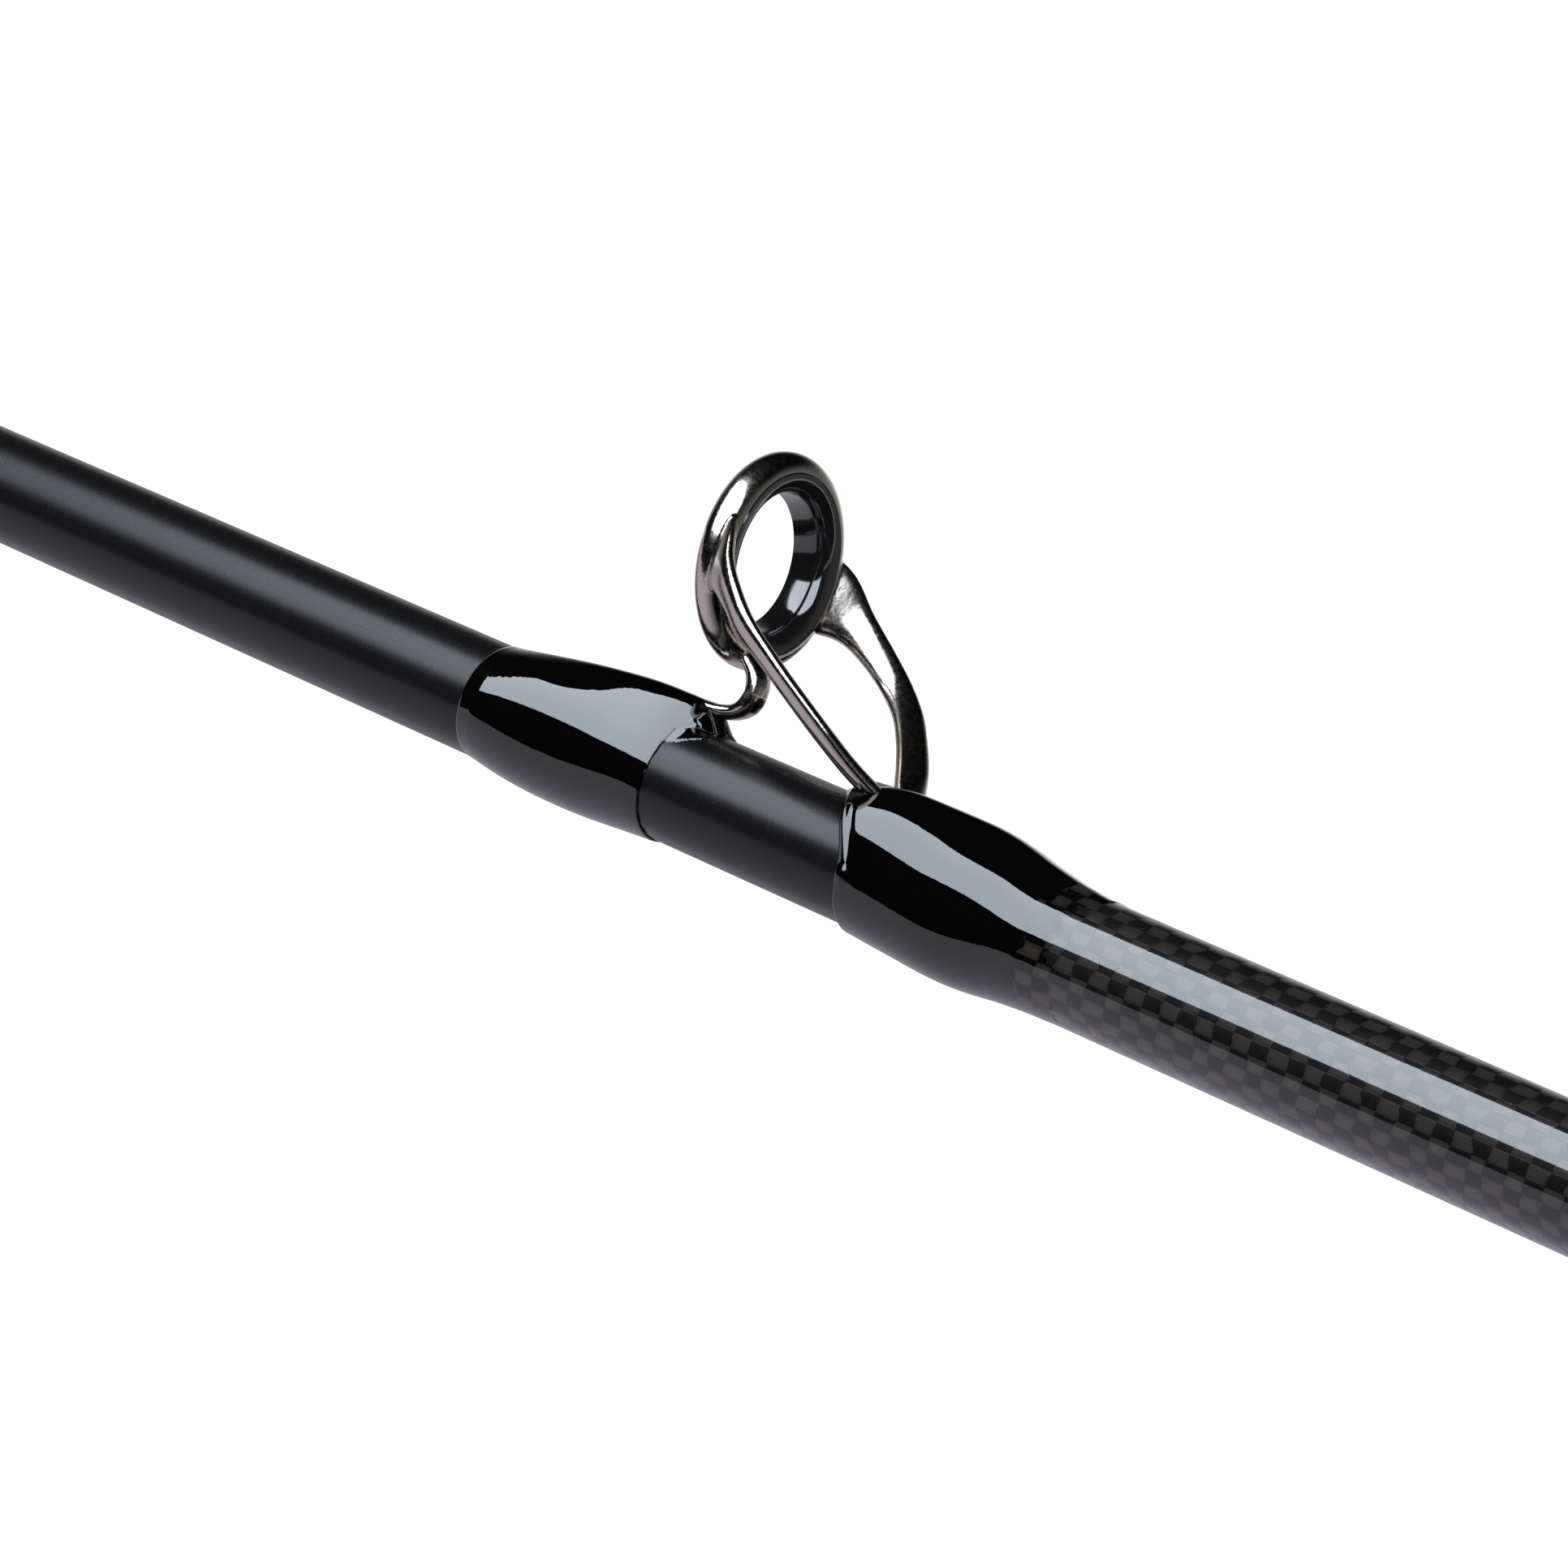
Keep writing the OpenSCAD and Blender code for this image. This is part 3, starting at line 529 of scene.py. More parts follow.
def arbor_foam():
    """Pale rigid foam of the bushings inside the reel seat, with painted shade in the hollow of each cell.
    """
    s = Shader("arbor_foam")
    cells = s.node("TexVoronoi", Vector=s.place, Scale=1.4).outputs["Distance"]
    # painted shade: each cell is darker where the bump sinks it
    return s.finish(Base_Color=s.mix(cells, (0.42, 0.39, 0.30), (0.60, 0.57, 0.46)),
                    Roughness=s.ramp(cells, 0.0, 0.5, 0.95, 0.8), Normal=s.bump(cells, 0.1))


MATERIALS = {
    "blank_graphite": matt_blank(),
    "woven_carbon": woven_carbon(),
    "winding_epoxy": winding_epoxy(),
    "winding_thread": winding_thread(),
    "guide_metal": guide_metal(),
    "guide_ceramic": guide_ceramic(),
    "keeper_wire": keeper_wire(),
    "trim_metal": turned_metal("trim_metal", (0.20, 0.185, 0.18), (0.30, 0.28, 0.27), 0.16),
    "hood_metal": turned_metal("hood_metal", (0.045, 0.043, 0.045), (0.085, 0.082, 0.085), 0.22),
    "grip_foam": grip_foam(),
    "seat_graphite": seat_graphite(),
    "butt_rubber": soft_rubber("butt_rubber", (0.007, 0.007, 0.007), (0.014, 0.014, 0.015), 2.5),
    "liner_rubber": soft_rubber("liner_rubber", (0.010, 0.010, 0.010), (0.018, 0.018, 0.018), 0),
    "arbor_foam": arbor_foam(),
}


def finish_cad_nodes():
    """Every CAD node takes the material of its slot in the record."""
    for part in frame["record"]["subparts"]:
        mesh = frame["nodes"][part["node"]].data
        mesh.materials.clear()
        mesh.materials.append(MATERIALS[part["material_slot"]])


finish_cad_nodes()

# ---------------------------------------------------------------- guides

# Proportions of the first guide, which the others share: lengths across and along the rod are multiplied
# by a guide's spread, widths and thicknesses by its wire share, and heights are a share of the ring's
# height. The single measures and the tables follow the guide's outlines in the photo.
FIRST_RING_RADIUS = 7.94
FIRST_BORE = 6.0
FIRST_HEIGHT = 15.2
BORE_END = 2.0        # from the ring's middle to its bore's tip end, along the axis
WIRE_POWER = 0.7      # how the wire's thickness goes with the bore
WIRE_RADIUS = 1.577
RING_OVER_BORE = 1.94     # this and the next two: how much larger a radius is than the bore's
SEAT_OVER_BORE = 0.93
FLANGE_OVER_BORE = 1.95
# rear strut: x, y, height share, width, lean of the broad face from upright, its turn towards the middle
STRUT = [
    (0.6, 6.6, 0.957, 7.5, 0.15, 0.9), (-1.35, 8.75, 0.920, 6.6, 0.2, 1.1),
    (-3.5, 10.7, 0.842, 4.0, 0.4, 1.4), (-6.2, 11.8, 0.730, 3.1, 0.7, 1.4),
    (-8.6, 12.15, 0.622, 2.9, 0.8, 1.25), (-11.4, 11.3, 0.503, 2.9, 0.9, 1.1),
    (-14.2, 9.4, 0.365, 2.9, 0.9, 1.2), (-16.8, 7.1, 0.230, 3.0, 0.9, 1.3),
    (-19.0, 4.7, 0.115, 2.9, 1.0, 1.3), (-21.0, 2.5, 0.030, 2.7, 1.2, 1.2),
]
STRUT_THICK = 1.42    # share of the strip's thickness
# feet and front leg: x, height share, width, share of the strip's thickness
REAR_FOOT = [
    (-19.6, 0.082, 5.6, 1), (-23, 0.080, 4.9, 1), (-28, 0.066, 3.9, 0.85), (-33.5, 0.046, 3.0, 0.6),
    (-38.6, 0.030, 1.6, 0.32),
]
FRONT_LEG = [
    (-0.9, 0.508, 4.6, 1.1), (-2.5, 0.442, 3.6, 1.3), (-3.55, 0.369, 3.0, 1.5), (-3.9, 0.288, 2.8, 1.55),
    (-3.65, 0.208, 2.8, 1.5), (-2.9, 0.158, 2.5, 1.3), (-1.6, 0.127, 2.6, 1.15), (0.5, 0.116, 2.9, 1.05),
    (4, 0.098, 3.2, 1), (9, 0.062, 3.2, 0.8), (13.5, 0.038, 2.8, 0.55), (18, 0.020, 1.6, 0.32),
]
STRIP_THICK = 1.1
EDGE_POWER = 2.05     # how square the strips' sections are: 2 is an ellipse


class Guide:
    """Places and sizes of one guide, from its bore mount and the blank under it."""

    def __init__(self, number):
        mount = MOUNTS[f"guide{number}_bore"]
        self.number = number
        self.body = "butt_section" if number == 1 else "tip_section"
        self.bore = mount["dims"]["r_mm"]
        self.thin = (self.bore / FIRST_BORE) ** WIRE_POWER
        self.axis = np.array(mount["axis"], float)
        inset = BORE_END * self.thin - mount["dims"]["length_mm"] / 2
        self.centre = np.array(mount["pos_m"]) / MM - inset * self.axis
        self.ring_radius = self.bore + RING_OVER_BORE * self.thin
        self.spread = self.ring_radius / FIRST_RING_RADIUS
        self.blank = butt_radius if number == 1 else tip_radius
        self.under = float(self.blank(self.centre[0]))
        self.height = self.centre[2] - self.under
        self.double = number < 4

    def point(self, x, y, share):
        """A point in the first guide's proportions: x from the ring, share of the ring's height."""
        return [self.centre[0] + x * self.spread, y * self.spread, self.under + share * self.height]

    def skin(self, x):
        """Radius that the coats rise from, x from the ring in mm. They level the sleeve's end out."""
        at = self.centre[0] + np.asarray(x, float)
        radius = self.blank(at)
        if self.number == 1:
            covered = np.clip((sleeve_end - at) / LEVELLING + 0.5, 0, 1)
            radius = radius + covered * (sleeve_radius(sleeve_end) - butt_radius(sleeve_end))
        return radius


def strut_shell(guide, side):
    """One rear strut, on the side of +Y or of -Y."""
    thick = STRUT_THICK * STRIP_THICK * guide.thin
    rows = [[*guide.point(x, side * y, share), width * guide.thin, thick, -1, -side * turn, lean]
            for x, y, share, width, lean, turn in STRUT]
    for row in rows:
        row[5:8] = list(np.array(row[5:8]) / np.linalg.norm(row[5:8]))
    return strip(rows)


def flat_shell(guide, table):
    """Strip in the rod's plane of symmetry, its broad face across the rod."""
    centres = np.array([guide.point(x, 0, share) for x, share, _, _ in table])
    ways = np.gradient(centres, axis=0)
    ways /= np.linalg.norm(ways, axis=1)[:, None]
    rows = [[*c, width * guide.thin, STRIP_THICK * thick * guide.thin, w[2], 0, -w[0]]
            for c, w, (_, _, width, thick) in zip(centres, ways, table)]
    return strip(rows)


def guide_frame(guide):
    """Ring, struts, leg and feet under one skin, with the insert's seat cut out of it."""
    wire = WIRE_RADIUS * guide.thin
    circle = [(guide.ring_radius + wire * math.cos(a), wire * math.sin(a))
              for a in np.linspace(0, 2 * math.pi, 40, endpoint=False)]
    shells = [lathe(circle, guide.centre, guide.axis, 160), strut_shell(guide, 1), strut_shell(guide, -1),
              flat_shell(guide, REAR_FOOT)]
    if guide.double:
        shells.append(flat_shell(guide, FRONT_LEG))
    first = guide.number == 1
    mesh = fused(shells, 0.13 if first else 0.2 * guide.spread, 5 if first else 3, [ring_seat(guide)],
                 1.0 if first else 0.5)
    make_piece(f"guide_{guide.number}_cast_frame", mesh, guide.body, "guide_metal",
               [f"guide{guide.number}_frame"])


def ring_seat(guide, turns=160):
    """The insert's seat, cut out of the ring: a bore, with a wide step for the flange on the butt side."""
    side = np.array([0.0, 1.0, 0.0])
    up = np.cross(guide.axis, side)
    angles = np.linspace(0, 2 * math.pi, turns, endpoint=False)
    seat = guide.bore + SEAT_OVER_BORE * guide.thin
    flange = guide.bore + (FLANGE_OVER_BORE + 0.03) * guide.thin

    def circle(along, radius):
        middle = guide.centre + along * guide.thin * guide.axis
        return np.array([middle + radius * (math.cos(a) * up + math.sin(a) * side) for a in angles])

    return loft([circle(-4, flange), circle(-0.95, flange), circle(-0.94, seat), circle(4, seat)])


def guide_ring(guide):
    """Ceramic insert: straight bore, rounded towards the butt, eased towards the tip."""
    k, b = guide.thin, guide.bore
    o = SEAT_OVER_BORE - 0.03
    f = FLANGE_OVER_BORE
    corners = [
        (0, 1.9), (0, -0.05), (0.03, -0.40), (0.12, -0.70), (0.26, -0.97), (0.45, -1.18), (0.8, -1.42),
        (f - 0.6, -1.60), (f - 0.1, -1.62), (f, -1.54), (f, -1.0), (f - 0.05, -0.97), (o, -0.97), (o, 1.2),
        (o - 0.08, 1.5), (o - 0.25, 1.8), (0.3, 2.06), (0.12, 2.1), (0.03, 2.03),
    ]
    profile = [(b + out * k, along * k) for out, along in corners]
    mesh = mesh_from([lathe(profile, guide.centre, guide.axis, 128)])
    make_piece(f"guide_{guide.number}_ceramic", mesh, guide.body, "guide_ceramic",
               [f"guide{guide.number}_ring"], sharp=28)


# Windings of the first guide, x in mm from its ring:
#   rows: stations from one x to another, and how many
#   side_of_root: which way from its root the coat lies
#   root: where the coat stops on top and round the blank, and the degrees from the top between which it
#         moves over from the one to the other
#   bead: how much of the bead there is at the root, by degrees from the top
#   rise, side: height of the coat under the blank and beside it
#   cheek, cheek_at: how far it swells, and the angle and width of the swelling, in degrees from the top
#   top, half: height and half width of the coated foot
# Rise, cheek, top and half are hills: the stations where one starts, is full, starts to fall and ends, its
# heights at the start, in full and at the end, and how long it holds before it falls.
FRONT = {
    "rows": [(21.2, 0.5, 96), (0.45, -0.35, 15), (-0.45, -3.2, 30)], "side_of_root": 1,
    "root": (-4.6, -0.05, 0, 40), "bead": [(0, 0), (180, 0)],
    "rise": ((-3.7, 10.5, 11.5, 21.2), (0.02, 0.82, -0.06), 2.3),
    "side": 0.25,
    "cheek": ((-1, 2, 2, 6), (0, 0.42, 0), 1), "cheek_at": (0, 48),
    "top": ((-3.4, -1, 4, 21), (-0.4, 2.3, 0), 1.3),
    "half": ((-3, 2, 11.5, 19.5), (0.6, 2.15, 0.8), 1),
}
REAR = {
    "rows": [(-45.2, -24.4, 100), (-24.25, -21.3, 34)], "side_of_root": -1,
    "root": (-17.5, -21.7, 5, 105), "bead": [(0, 0.6), (40, 1), (90, 1), (108, 0), (180, 0)],
    "rise": ((-44, -32, -30.5, -21), (-0.02, 1.08, 0.37), 1),
    "side": 0.2,
    "cheek": ((-32, -20.5, -18, -17), (0, 1.2, 1.2), 1), "cheek_at": (40, 24),
    "top": ((-45, -31, -24, -17.5), (-0.02, 2.15, 0.05), 1.6),
    "half": ((-36, -20, -19.5, -17.5), (1.3, 3.0, 2.4), 1),
}
EMBED = 0.16          # how deep the coat's edge sinks into what it lies on
LEVELLING = 5.0       # length over which the coat evens out the sleeve's end
BEND_FROM = -36       # x from which the rear coat's rows bend round to its slanting root
HILL_BLUR = 1.1       # mm over which the hills' corners are rounded
FOOT_BLUR = 4.5       # degrees over which the coat rounds the foot's corners
RIPPLE = 0.012        # height of the coat's faint unevenness
SIDE = (95, 30)       # where the coat is thinnest, by degrees from the top, and over what width
THREAD_DEPTH = 0.13   # how deep the thread lies in the coat
EDGE = (1.5, 0.35)    # length over which the coat's root rounds off, over the foot and beside it
EDGE_TURN = (42, 64)  # where the one goes over to the other, by degrees from the top
BEAD = (0.20, 0.70, 0.22)     # height, distance from the root and width of the bead
DIP = (-0.09, 1.3, 0.32)      # and of the dip behind it
DRIP = (0.34, 104, 5.5, 0.5, 0.6)     # a drip at the bead's lower end: height, place and width both ways


def ease(x, start, end):
    """Goes from 0 at the start to 1 at the end, level at both."""
    share = np.clip((x - start) / (end - start), 0, 1)
    return share**2 * (3 - 2 * share)


def hill(x, stations, heights, hold):
    """Height that eases up to its full value and later falls away, with its corners rounded."""
    start, full, leave, end = stations
    low, high, last = heights
    shifts = np.linspace(-2, 2, 9)
    weights = np.exp(-0.5 * shifts**2)
    total = 0
    for weight, shift in zip(weights, shifts * HILL_BLUR):
        at = x + shift
        fall = np.clip((at - leave) / (end - leave), 0, 1) ** hold
        total = total + weight * (low + (high - low) * ease(at, start, full) + (last - high) * fall)
    return total / weights.sum()


def bell(value, centre, width):
    """1 at the centre, falling away on both sides."""
    return np.exp(-0.5 * ((value - centre) / width) ** 2)


def over_foot(angle, core, top, half):
    """Outline over a round core and a flat foot on top: tangent planes run from the foot's corners."""
    angle = np.radians(angle)
    corner = np.maximum(np.hypot(half, top), core + 1e-4)
    at = np.arctan2(half, top)
    leave = at + np.arccos(core / corner)
    flank = core / np.cos(np.clip(leave - angle, 0, 1.3))
    return np.maximum(core, np.where(angle < at, top / np.cos(np.minimum(angle, at)), flank))


def winding_shell(guide, shape, points, depth=0.0):
    """Shell of one coated winding, or of what lies depth under its skin: it climbs over the foot on top."""
    stations = np.concatenate([np.linspace(*row) for row in shape["rows"]])
    angle = np.linspace(-180, 180, points, endpoint=False)
    rows, angles = np.meshgrid(stations, np.abs(angle), indexing="ij")
    on_top, round_blank, *degrees = shape["root"]
    root = on_top + (round_blank - on_top) * ease(angles, *degrees)
    if shape["side_of_root"] < 0:
        rows = rows + (root - stations[-1]) * ease(rows, BEND_FROM, stations[-1])
    inside = shape["side_of_root"] * (rows - root)

    base = guide.skin(rows * guide.spread)
    ripple = RIPPLE * np.sin(0.45 * rows + 2.1) * np.cos(np.radians(2 * angles) + 0.13 * rows)
    rise = hill(rows, *shape["rise"])
    side = np.minimum(shape["side"], rise)
    cheek = hill(rows, *shape["cheek"]) * bell(angles, *shape["cheek_at"])
    rise = rise - (rise - side) * bell(angles, *SIDE) + cheek + ripple
    edge = np.interp(angles, EDGE_TURN, EDGE)
    rounding = np.sqrt(1 - (1 - np.clip(inside / edge, 0, 1)) ** 2)
    has_bead = np.interp(angles, *zip(*shape["bead"]))
    bead = BEAD[0] * bell(inside, *BEAD[1:]) + DIP[0] * bell(inside, *DIP[1:])
    drip = DRIP[0] * bell(angles, *DRIP[1:3]) * bell(inside, *DRIP[3:]) * (shape["side_of_root"] < 0)
    swell = np.where(inside > 0, (rise + has_bead * bead + drip) * rounding, 0)

    core = base + guide.thin * swell
    top = base + guide.height / FIRST_HEIGHT * hill(rows, *shape["top"])
    half = guide.thin * hill(rows, *shape["half"])
    foot = blur_round(over_foot(angles, core, top, half) - core, FOOT_BLUR * points / 360)
    covered = (inside > 0) | (foot > 0.02 * guide.thin)
    radius = np.where(covered, core + foot - depth * guide.thin, 0)
    radius = np.maximum(radius, base - EMBED * guide.thin)
    for end in (0, -1):
        radius[end] = base[end] - EMBED * guide.thin
    return winding_skin(guide, rows, angle, radius)


def winding_skin(guide, rows, angle, radius):
    """Closed shell between the coat's outside and a cylinder just inside the blank."""
    turn = np.radians(angle)
    at = guide.centre[0] + rows * guide.spread
    inner = guide.blank(at[[-1, 0]]) - 0.3 * guide.thin
    places = np.concatenate([at, at[[-1, 0]]])
    radii = np.concatenate([radius, inner])
    points = np.stack([places, radii * np.sin(turn), radii * np.cos(turn)], axis=-1)
    return points.reshape(-1, 3), grid_faces(len(places), len(turn), closed_rows=True)


def guide_windings(guide):
    """Coats over the feet, and the thread just under their skin."""
    points = 180 if guide.number == 1 else 72
    shapes = [REAR, FRONT] if guide.double else [REAR]
    for name, slot, node, depth in (("epoxy_coat", "winding_epoxy", "epoxy", 0.0),
                                    ("thread_turns", "winding_thread", "thread", THREAD_DEPTH)):
        shells = [winding_shell(guide, shape, points, depth) for shape in shapes]
        make_piece(f"guide_{guide.number}_{name}", mesh_from(shells), guide.body, slot,
                   [f"guide{guide.number}_{node}"], sharp=60)


for number in range(1, 8):
    made = Guide(number)
    guide_frame(made)
    guide_ring(made)
    guide_windings(made)

# ---------------------------------------------------------------- reel seat

# All in mm, stations from the butt.
FIXED_HOOD_X = 272.0
BED = (291.0, 318.0)          # stations of the flat bed for the reel foot
BED_DEPTH = 1.2
BED_RELIEF = 0.2              # how much lower the seat is under the hoods
KEY_HALF = 2.0
KEY_DEPTH = 1.0
THREAD_START = 319.0
THREAD_PITCH = 2.0
THREAD_GROOVE = 0.42          # depth of the groove
GROOVE_FLOOR, GROOVE_FLANK = 1.4, 5.2     # how wide its floor and how steep its flanks are
THREAD_RUN_IN = 3.0           # length over which the groove deepens at its start
STATION_STEP = 0.25           # between the thread's stations
TIP_CHAMFER = 0.8
BUTT_STEP = 0.3               # how much lower the first stations are
SEAT_COLUMNS = 192


def reel_seat():
    """Barrel with a flat bed, a keyway underneath and a screw thread for the lock nut."""
    points = np.array([v.co for v in frame["nodes"]["reel_seat_body"].data.vertices]) / MM
    low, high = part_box("reel_seat_body")
    first, last, crest = low.x / MM, high.x / MM, high.y / MM
    bore = np.hypot(points[:, 1], points[:, 2]).min()
    relieved = FIXED_HOOD_X + 2
    plain = [first, first + 0.4, relieved - 0.05, relieved + 0.05, BED[0] - 0.05, BED[0] + 0.05,
             BED[1] - 0.05, BED[1] + 0.05]
    threaded = np.arange(THREAD_START, last - TIP_CHAMFER, STATION_STEP)
    x = np.concatenate([plain, threaded, [last - 0.75, last]])
    angle = np.linspace(-math.pi, math.pi, SEAT_COLUMNS, endpoint=False)
    rows, turns = np.meshgrid(x, angle, indexing="ij")

    phase = (rows / THREAD_PITCH + turns / (2 * math.pi)) % 1.0
    groove = THREAD_GROOVE * np.clip(GROOVE_FLOOR - np.abs(phase - 0.5) * GROOVE_FLANK, 0, 1)
    groove *= np.clip((rows - THREAD_START) / THREAD_RUN_IN, 0, 1) * (rows < last - TIP_CHAMFER)
    chamfer = TIP_CHAMFER * np.clip((rows - last + TIP_CHAMFER) / TIP_CHAMFER, 0, 1)
    radius = crest - groove - chamfer - BUTT_STEP * (rows < first + 0.2)
    on_bed = (rows > BED[0]) & (rows < BED[1])
    flat = np.where(on_bed, crest - BED_DEPTH, crest - BED_DEPTH - BED_RELIEF)
    flat = np.where(rows < relieved, crest + 1, flat)
    upright = np.cos(turns)
    radius = np.where(upright > 0.5, np.minimum(radius, flat / np.maximum(upright, 0.5)), radius)
    in_key = (rows > BED[1]) & (upright < 0) & (np.abs(crest * np.sin(turns)) < KEY_HALF)
    radius = np.where(in_key, np.minimum(radius, (crest - KEY_DEPTH) / np.maximum(-upright, 0.5)), radius)

    places = np.concatenate([x, [last, first]])
    radii = np.concatenate([radius, np.full((2, SEAT_COLUMNS), bore)])
    shell = np.stack([np.broadcast_to(places[:, None], radii.shape), radii * np.sin(angle),
                      radii * np.cos(angle)], axis=-1)
    faces = grid_faces(len(places), SEAT_COLUMNS, closed_rows=True)
    make_piece("threaded_seat", mesh_from([(shell.reshape(-1, 3), faces)]), "butt_section", "seat_graphite",
               ["reel_seat_body"], sharp=30)


reel_seat()

# ---------------------------------------------------------------- floor, cards, lamps and camera

# All in metres and degrees.
FLOOR_Z = -0.45
WORLD_LIGHT = 0.35    # strength of the world on matt surfaces
# turn: of its middle from +Y up towards +Z. half_angle: half of what it spans, seen from the rod.
# from, to: its ends along X.
SOFTBOX = {"distance": 1.0, "turn": 37.8, "half_angle": 27.75, "from": -0.70, "to": 1.72}
# fitted to the ring and the blank's outlines in the photo. turns: about X, Y and Z. sensor and lens in mm.
CAMERA = {"place": (0.46, 0.45706, 0.01805), "turns": (88.37137, -22.55642, -145.23486),
          "sensor": 36, "lens": 150.82081}


def stage_plane(name, corners, material, only_glossy=False):
    """A plane that isn't part of the object, seen by reflections only where asked."""
    mesh = bpy.data.meshes.new(name)
    mesh.from_pydata(corners, [], [[0, 1, 2, 3]])
    card = bpy.data.objects.new(name, mesh)
    scene.collection.objects.link(card)
    mesh.materials.append(material)
    if only_glossy:
        card.visible_camera = card.visible_diffuse = card.visible_transmission = False
        card.visible_volume_scatter = card.visible_shadow = False


def plain_emission(name, colour, strength):
    material = bpy.data.materials.new(name)
    material.use_nodes = True
    tree = material.node_tree
    tree.nodes.clear()
    light = tree.nodes.new("ShaderNodeEmission")
    light.inputs["Color"].default_value = (*colour, 1)
    light.inputs["Strength"].default_value = strength
    out = tree.nodes.new("ShaderNodeOutputMaterial")
    tree.links.new(light.outputs[0], out.inputs["Surface"])
    return material


def seen_directly(nodes):
    """1 for camera, glossy and transmission rays, otherwise 0."""
    path = nodes.node("LightPath").outputs
    total = nodes.math("MAXIMUM", path["Is Camera Ray"], path["Is Glossy Ray"])
    return nodes.math("MAXIMUM", total, path["Is Transmission Ray"])


def world():
    """White round the rod. Reflections see it as a studio: a bright wall far off, and darkness overhead."""
    made = bpy.data.worlds.new("studio")
    scene.world = made
    made.use_nodes = True
    w = Nodes(made.node_tree)
    w.tree.nodes.clear()
    path = w.node("LightPath").outputs
    toward = w.node("SeparateXYZ", Vector=w.node("TexCoord").outputs["Generated"]).outputs
    # bright on the rod's far side, dimmer towards the butt and at the tip's end, dark overhead
    wall = w.times(w.ramp(toward[0], -0.55, 0.25, 0.28, 1.22),
                   w.ramp(toward[0], 0.60, 0.98, 1.0, 0.3), w.ramp(toward[1], -0.3, 0.1, 1.0, 0.2),
                   w.ramp(toward[2], 0.12, 0.68, 1.0, 0.0))
    glossy = path["Is Glossy Ray"]
    plain = w.math("MAXIMUM", path["Is Camera Ray"], path["Is Transmission Ray"])
    diffuse = w.math("SUBTRACT", 1.0, w.math("MAXIMUM", plain, glossy))
    strength = w.math("ADD", w.math("ADD", plain, w.times(glossy, wall)), w.times(diffuse, WORLD_LIGHT))
    light = w.node("Background", Color=(1, 1, 1), Strength=strength)
    w.tree.links.new(light.outputs[0], w.node("OutputWorld").inputs["Surface"])


def floor():
    """Pale floor that keeps the rod's shadow and goes over to white away from it."""
    s = Shader("floor")
    distance = s.node("VectorMath", {"operation": "LENGTH"}, Vector=s.place).outputs["Value"]
    tree = s.tree
    glow = tree.nodes.new("ShaderNodeEmission")
    s.put(glow.inputs["Strength"], s.times(seen_directly(s), s.ramp(distance, 1200, 2600, 0.62, 1.0)))
    s.finish(Base_Color=(0.80, 0.80, 0.80), Roughness=0.9, Specular_IOR_Level=0.0)
    add = tree.nodes.new("ShaderNodeAddShader")
    tree.links.new(glow.outputs[0], add.inputs[0])
    tree.links.new(s.surface.outputs[0], add.inputs[1])
    tree.links.new(add.outputs[0], tree.nodes["Material Output"].inputs["Surface"])
    wide = 60
    stage_plane("floor", [(-wide, -wide, FLOOR_Z), (wide, -wide, FLOOR_Z), (wide, wide, FLOOR_Z),
                          (-wide, wide, FLOOR_Z)], s.material)


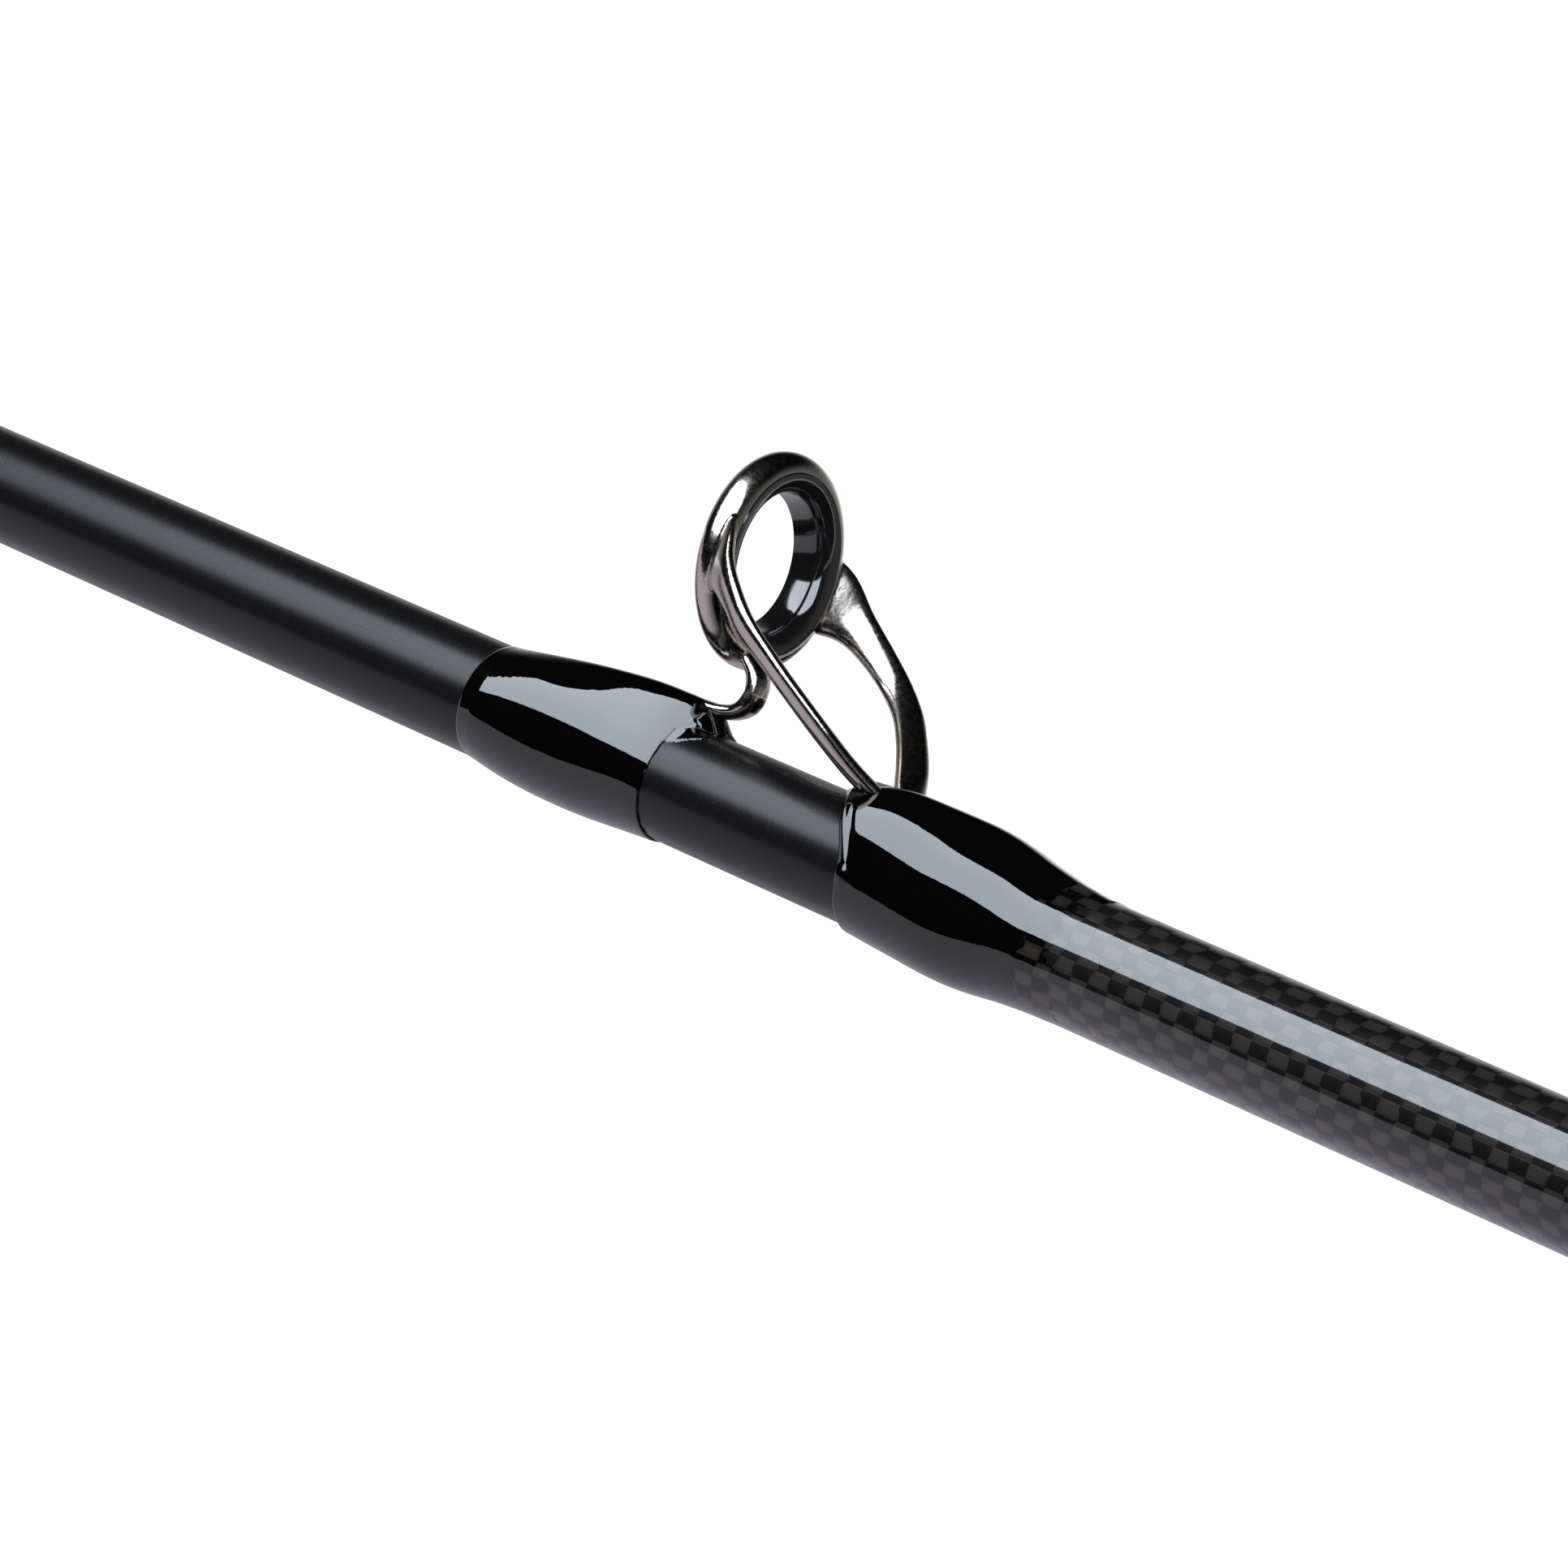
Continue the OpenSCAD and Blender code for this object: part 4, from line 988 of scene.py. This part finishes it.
def cards():
    """Cards that only reflections see: a pale table below, black flags on the near side and at the ends."""
    black = plain_emission("flag", (0, 0, 0), 0)
    z = FLOOR_Z + 0.01
    edge = 0.60       # of the table on the near side
    end = 0.45        # and towards the butt
    s = Shader("table_card")
    x, y, _ = s.node("SeparateXYZ", Vector=s.place).outputs
    tree = s.tree
    tree.nodes.remove(s.surface)
    glow = tree.nodes.new("ShaderNodeEmission")
    glow.inputs["Color"].default_value = (0.98, 0.93, 1.09, 1)
    strength = s.times(s.ramp(y, -1200, 300, 0.56, 0.93), s.ramp(y, -3500, -1100, 0.68, 1.0),
                       s.ramp(x, 450, 950, 0.2, 1.0))
    s.put(glow.inputs["Strength"], strength)
    tree.links.new(glow.outputs[0], tree.nodes["Material Output"].inputs["Surface"])
    stage_plane("table_card", [(end, -8, z), (8, -8, z), (8, edge, z), (end, edge, z)], s.material, True)
    stage_plane("butt_flag", [(-6, -8, z), (end, -8, z), (end, edge, z), (-6, edge, z)], black, True)
    stage_plane("near_flag", [(-6, edge, z), (8, edge, z), (8, 4, z), (-6, 4, z)], black, True)
    stage_plane("wall_flag", [(-6, 4, z), (8, 4, z), (8, 4, 4), (-6, 4, 4)], black, True)
    stage_plane("end_flag", [(8, 4, z), (8, 0, z), (8, 0, 4), (8, 4, 4)], black, True)


def area_lamp(name, centre, toward, along, wide, radiance, colour=(1, 1, 1), glossy=False, diffuse=True):
    """Rectangular lamp of a given radiance, its long side along X."""
    data = bpy.data.lights.new(name, "AREA")
    data.shape = "RECTANGLE"
    data.size, data.size_y = along, wide
    data.energy = radiance * math.pi * along * wide
    data.color = colour
    lamp = bpy.data.objects.new(name, data)
    scene.collection.objects.link(lamp)
    back = (Vector(centre) - Vector(toward)).normalized()
    right = Vector((1, 0, 0))
    up = back.cross(right)
    lamp.matrix_world = Matrix.Translation(centre) @ Matrix((right, up, back)).transposed().to_4x4()
    lamp.visible_camera = lamp.visible_transmission = False
    lamp.visible_glossy = glossy
    lamp.visible_diffuse = diffuse


def lamps():
    """A softbox over the near side, one lamp for its reflection and one for its light, and a fill light."""
    box = SOFTBOX
    turn = math.radians(box["turn"])
    middle = (box["from"] + box["to"]) / 2
    centre = (middle, box["distance"] * math.cos(turn), box["distance"] * math.sin(turn))
    wide = 2 * box["distance"] * math.tan(math.radians(box["half_angle"]))
    long = box["to"] - box["from"]
    area_lamp("softbox_seen", centre, (middle, 0, 0), long, wide, radiance=8.8, colour=(0.90, 1.0, 1.12),
              glossy=True, diffuse=False)
    area_lamp("softbox", centre, (middle, 0, 0), long, wide, radiance=2.0)
    area_lamp("fill", (0.9, -1.6, 1.0), (0.9, 0, 0), along=2.4, wide=1.2, radiance=0.8)


def camera():
    """Camera at the photograph's viewing angle."""
    data = bpy.data.cameras.new("camera")
    data.sensor_width = CAMERA["sensor"]
    data.lens = CAMERA["lens"]
    data.clip_start, data.clip_end = 0.01, 200
    made = bpy.data.objects.new("camera", data)
    scene.collection.objects.link(made)
    turns = Euler([math.radians(turn) for turn in CAMERA["turns"]])
    made.matrix_world = Matrix.Translation(CAMERA["place"]) @ turns.to_matrix().to_4x4()
    scene.camera = made


world()
floor()
cards()
lamps()
camera()
scene.view_settings.view_transform = "Standard"
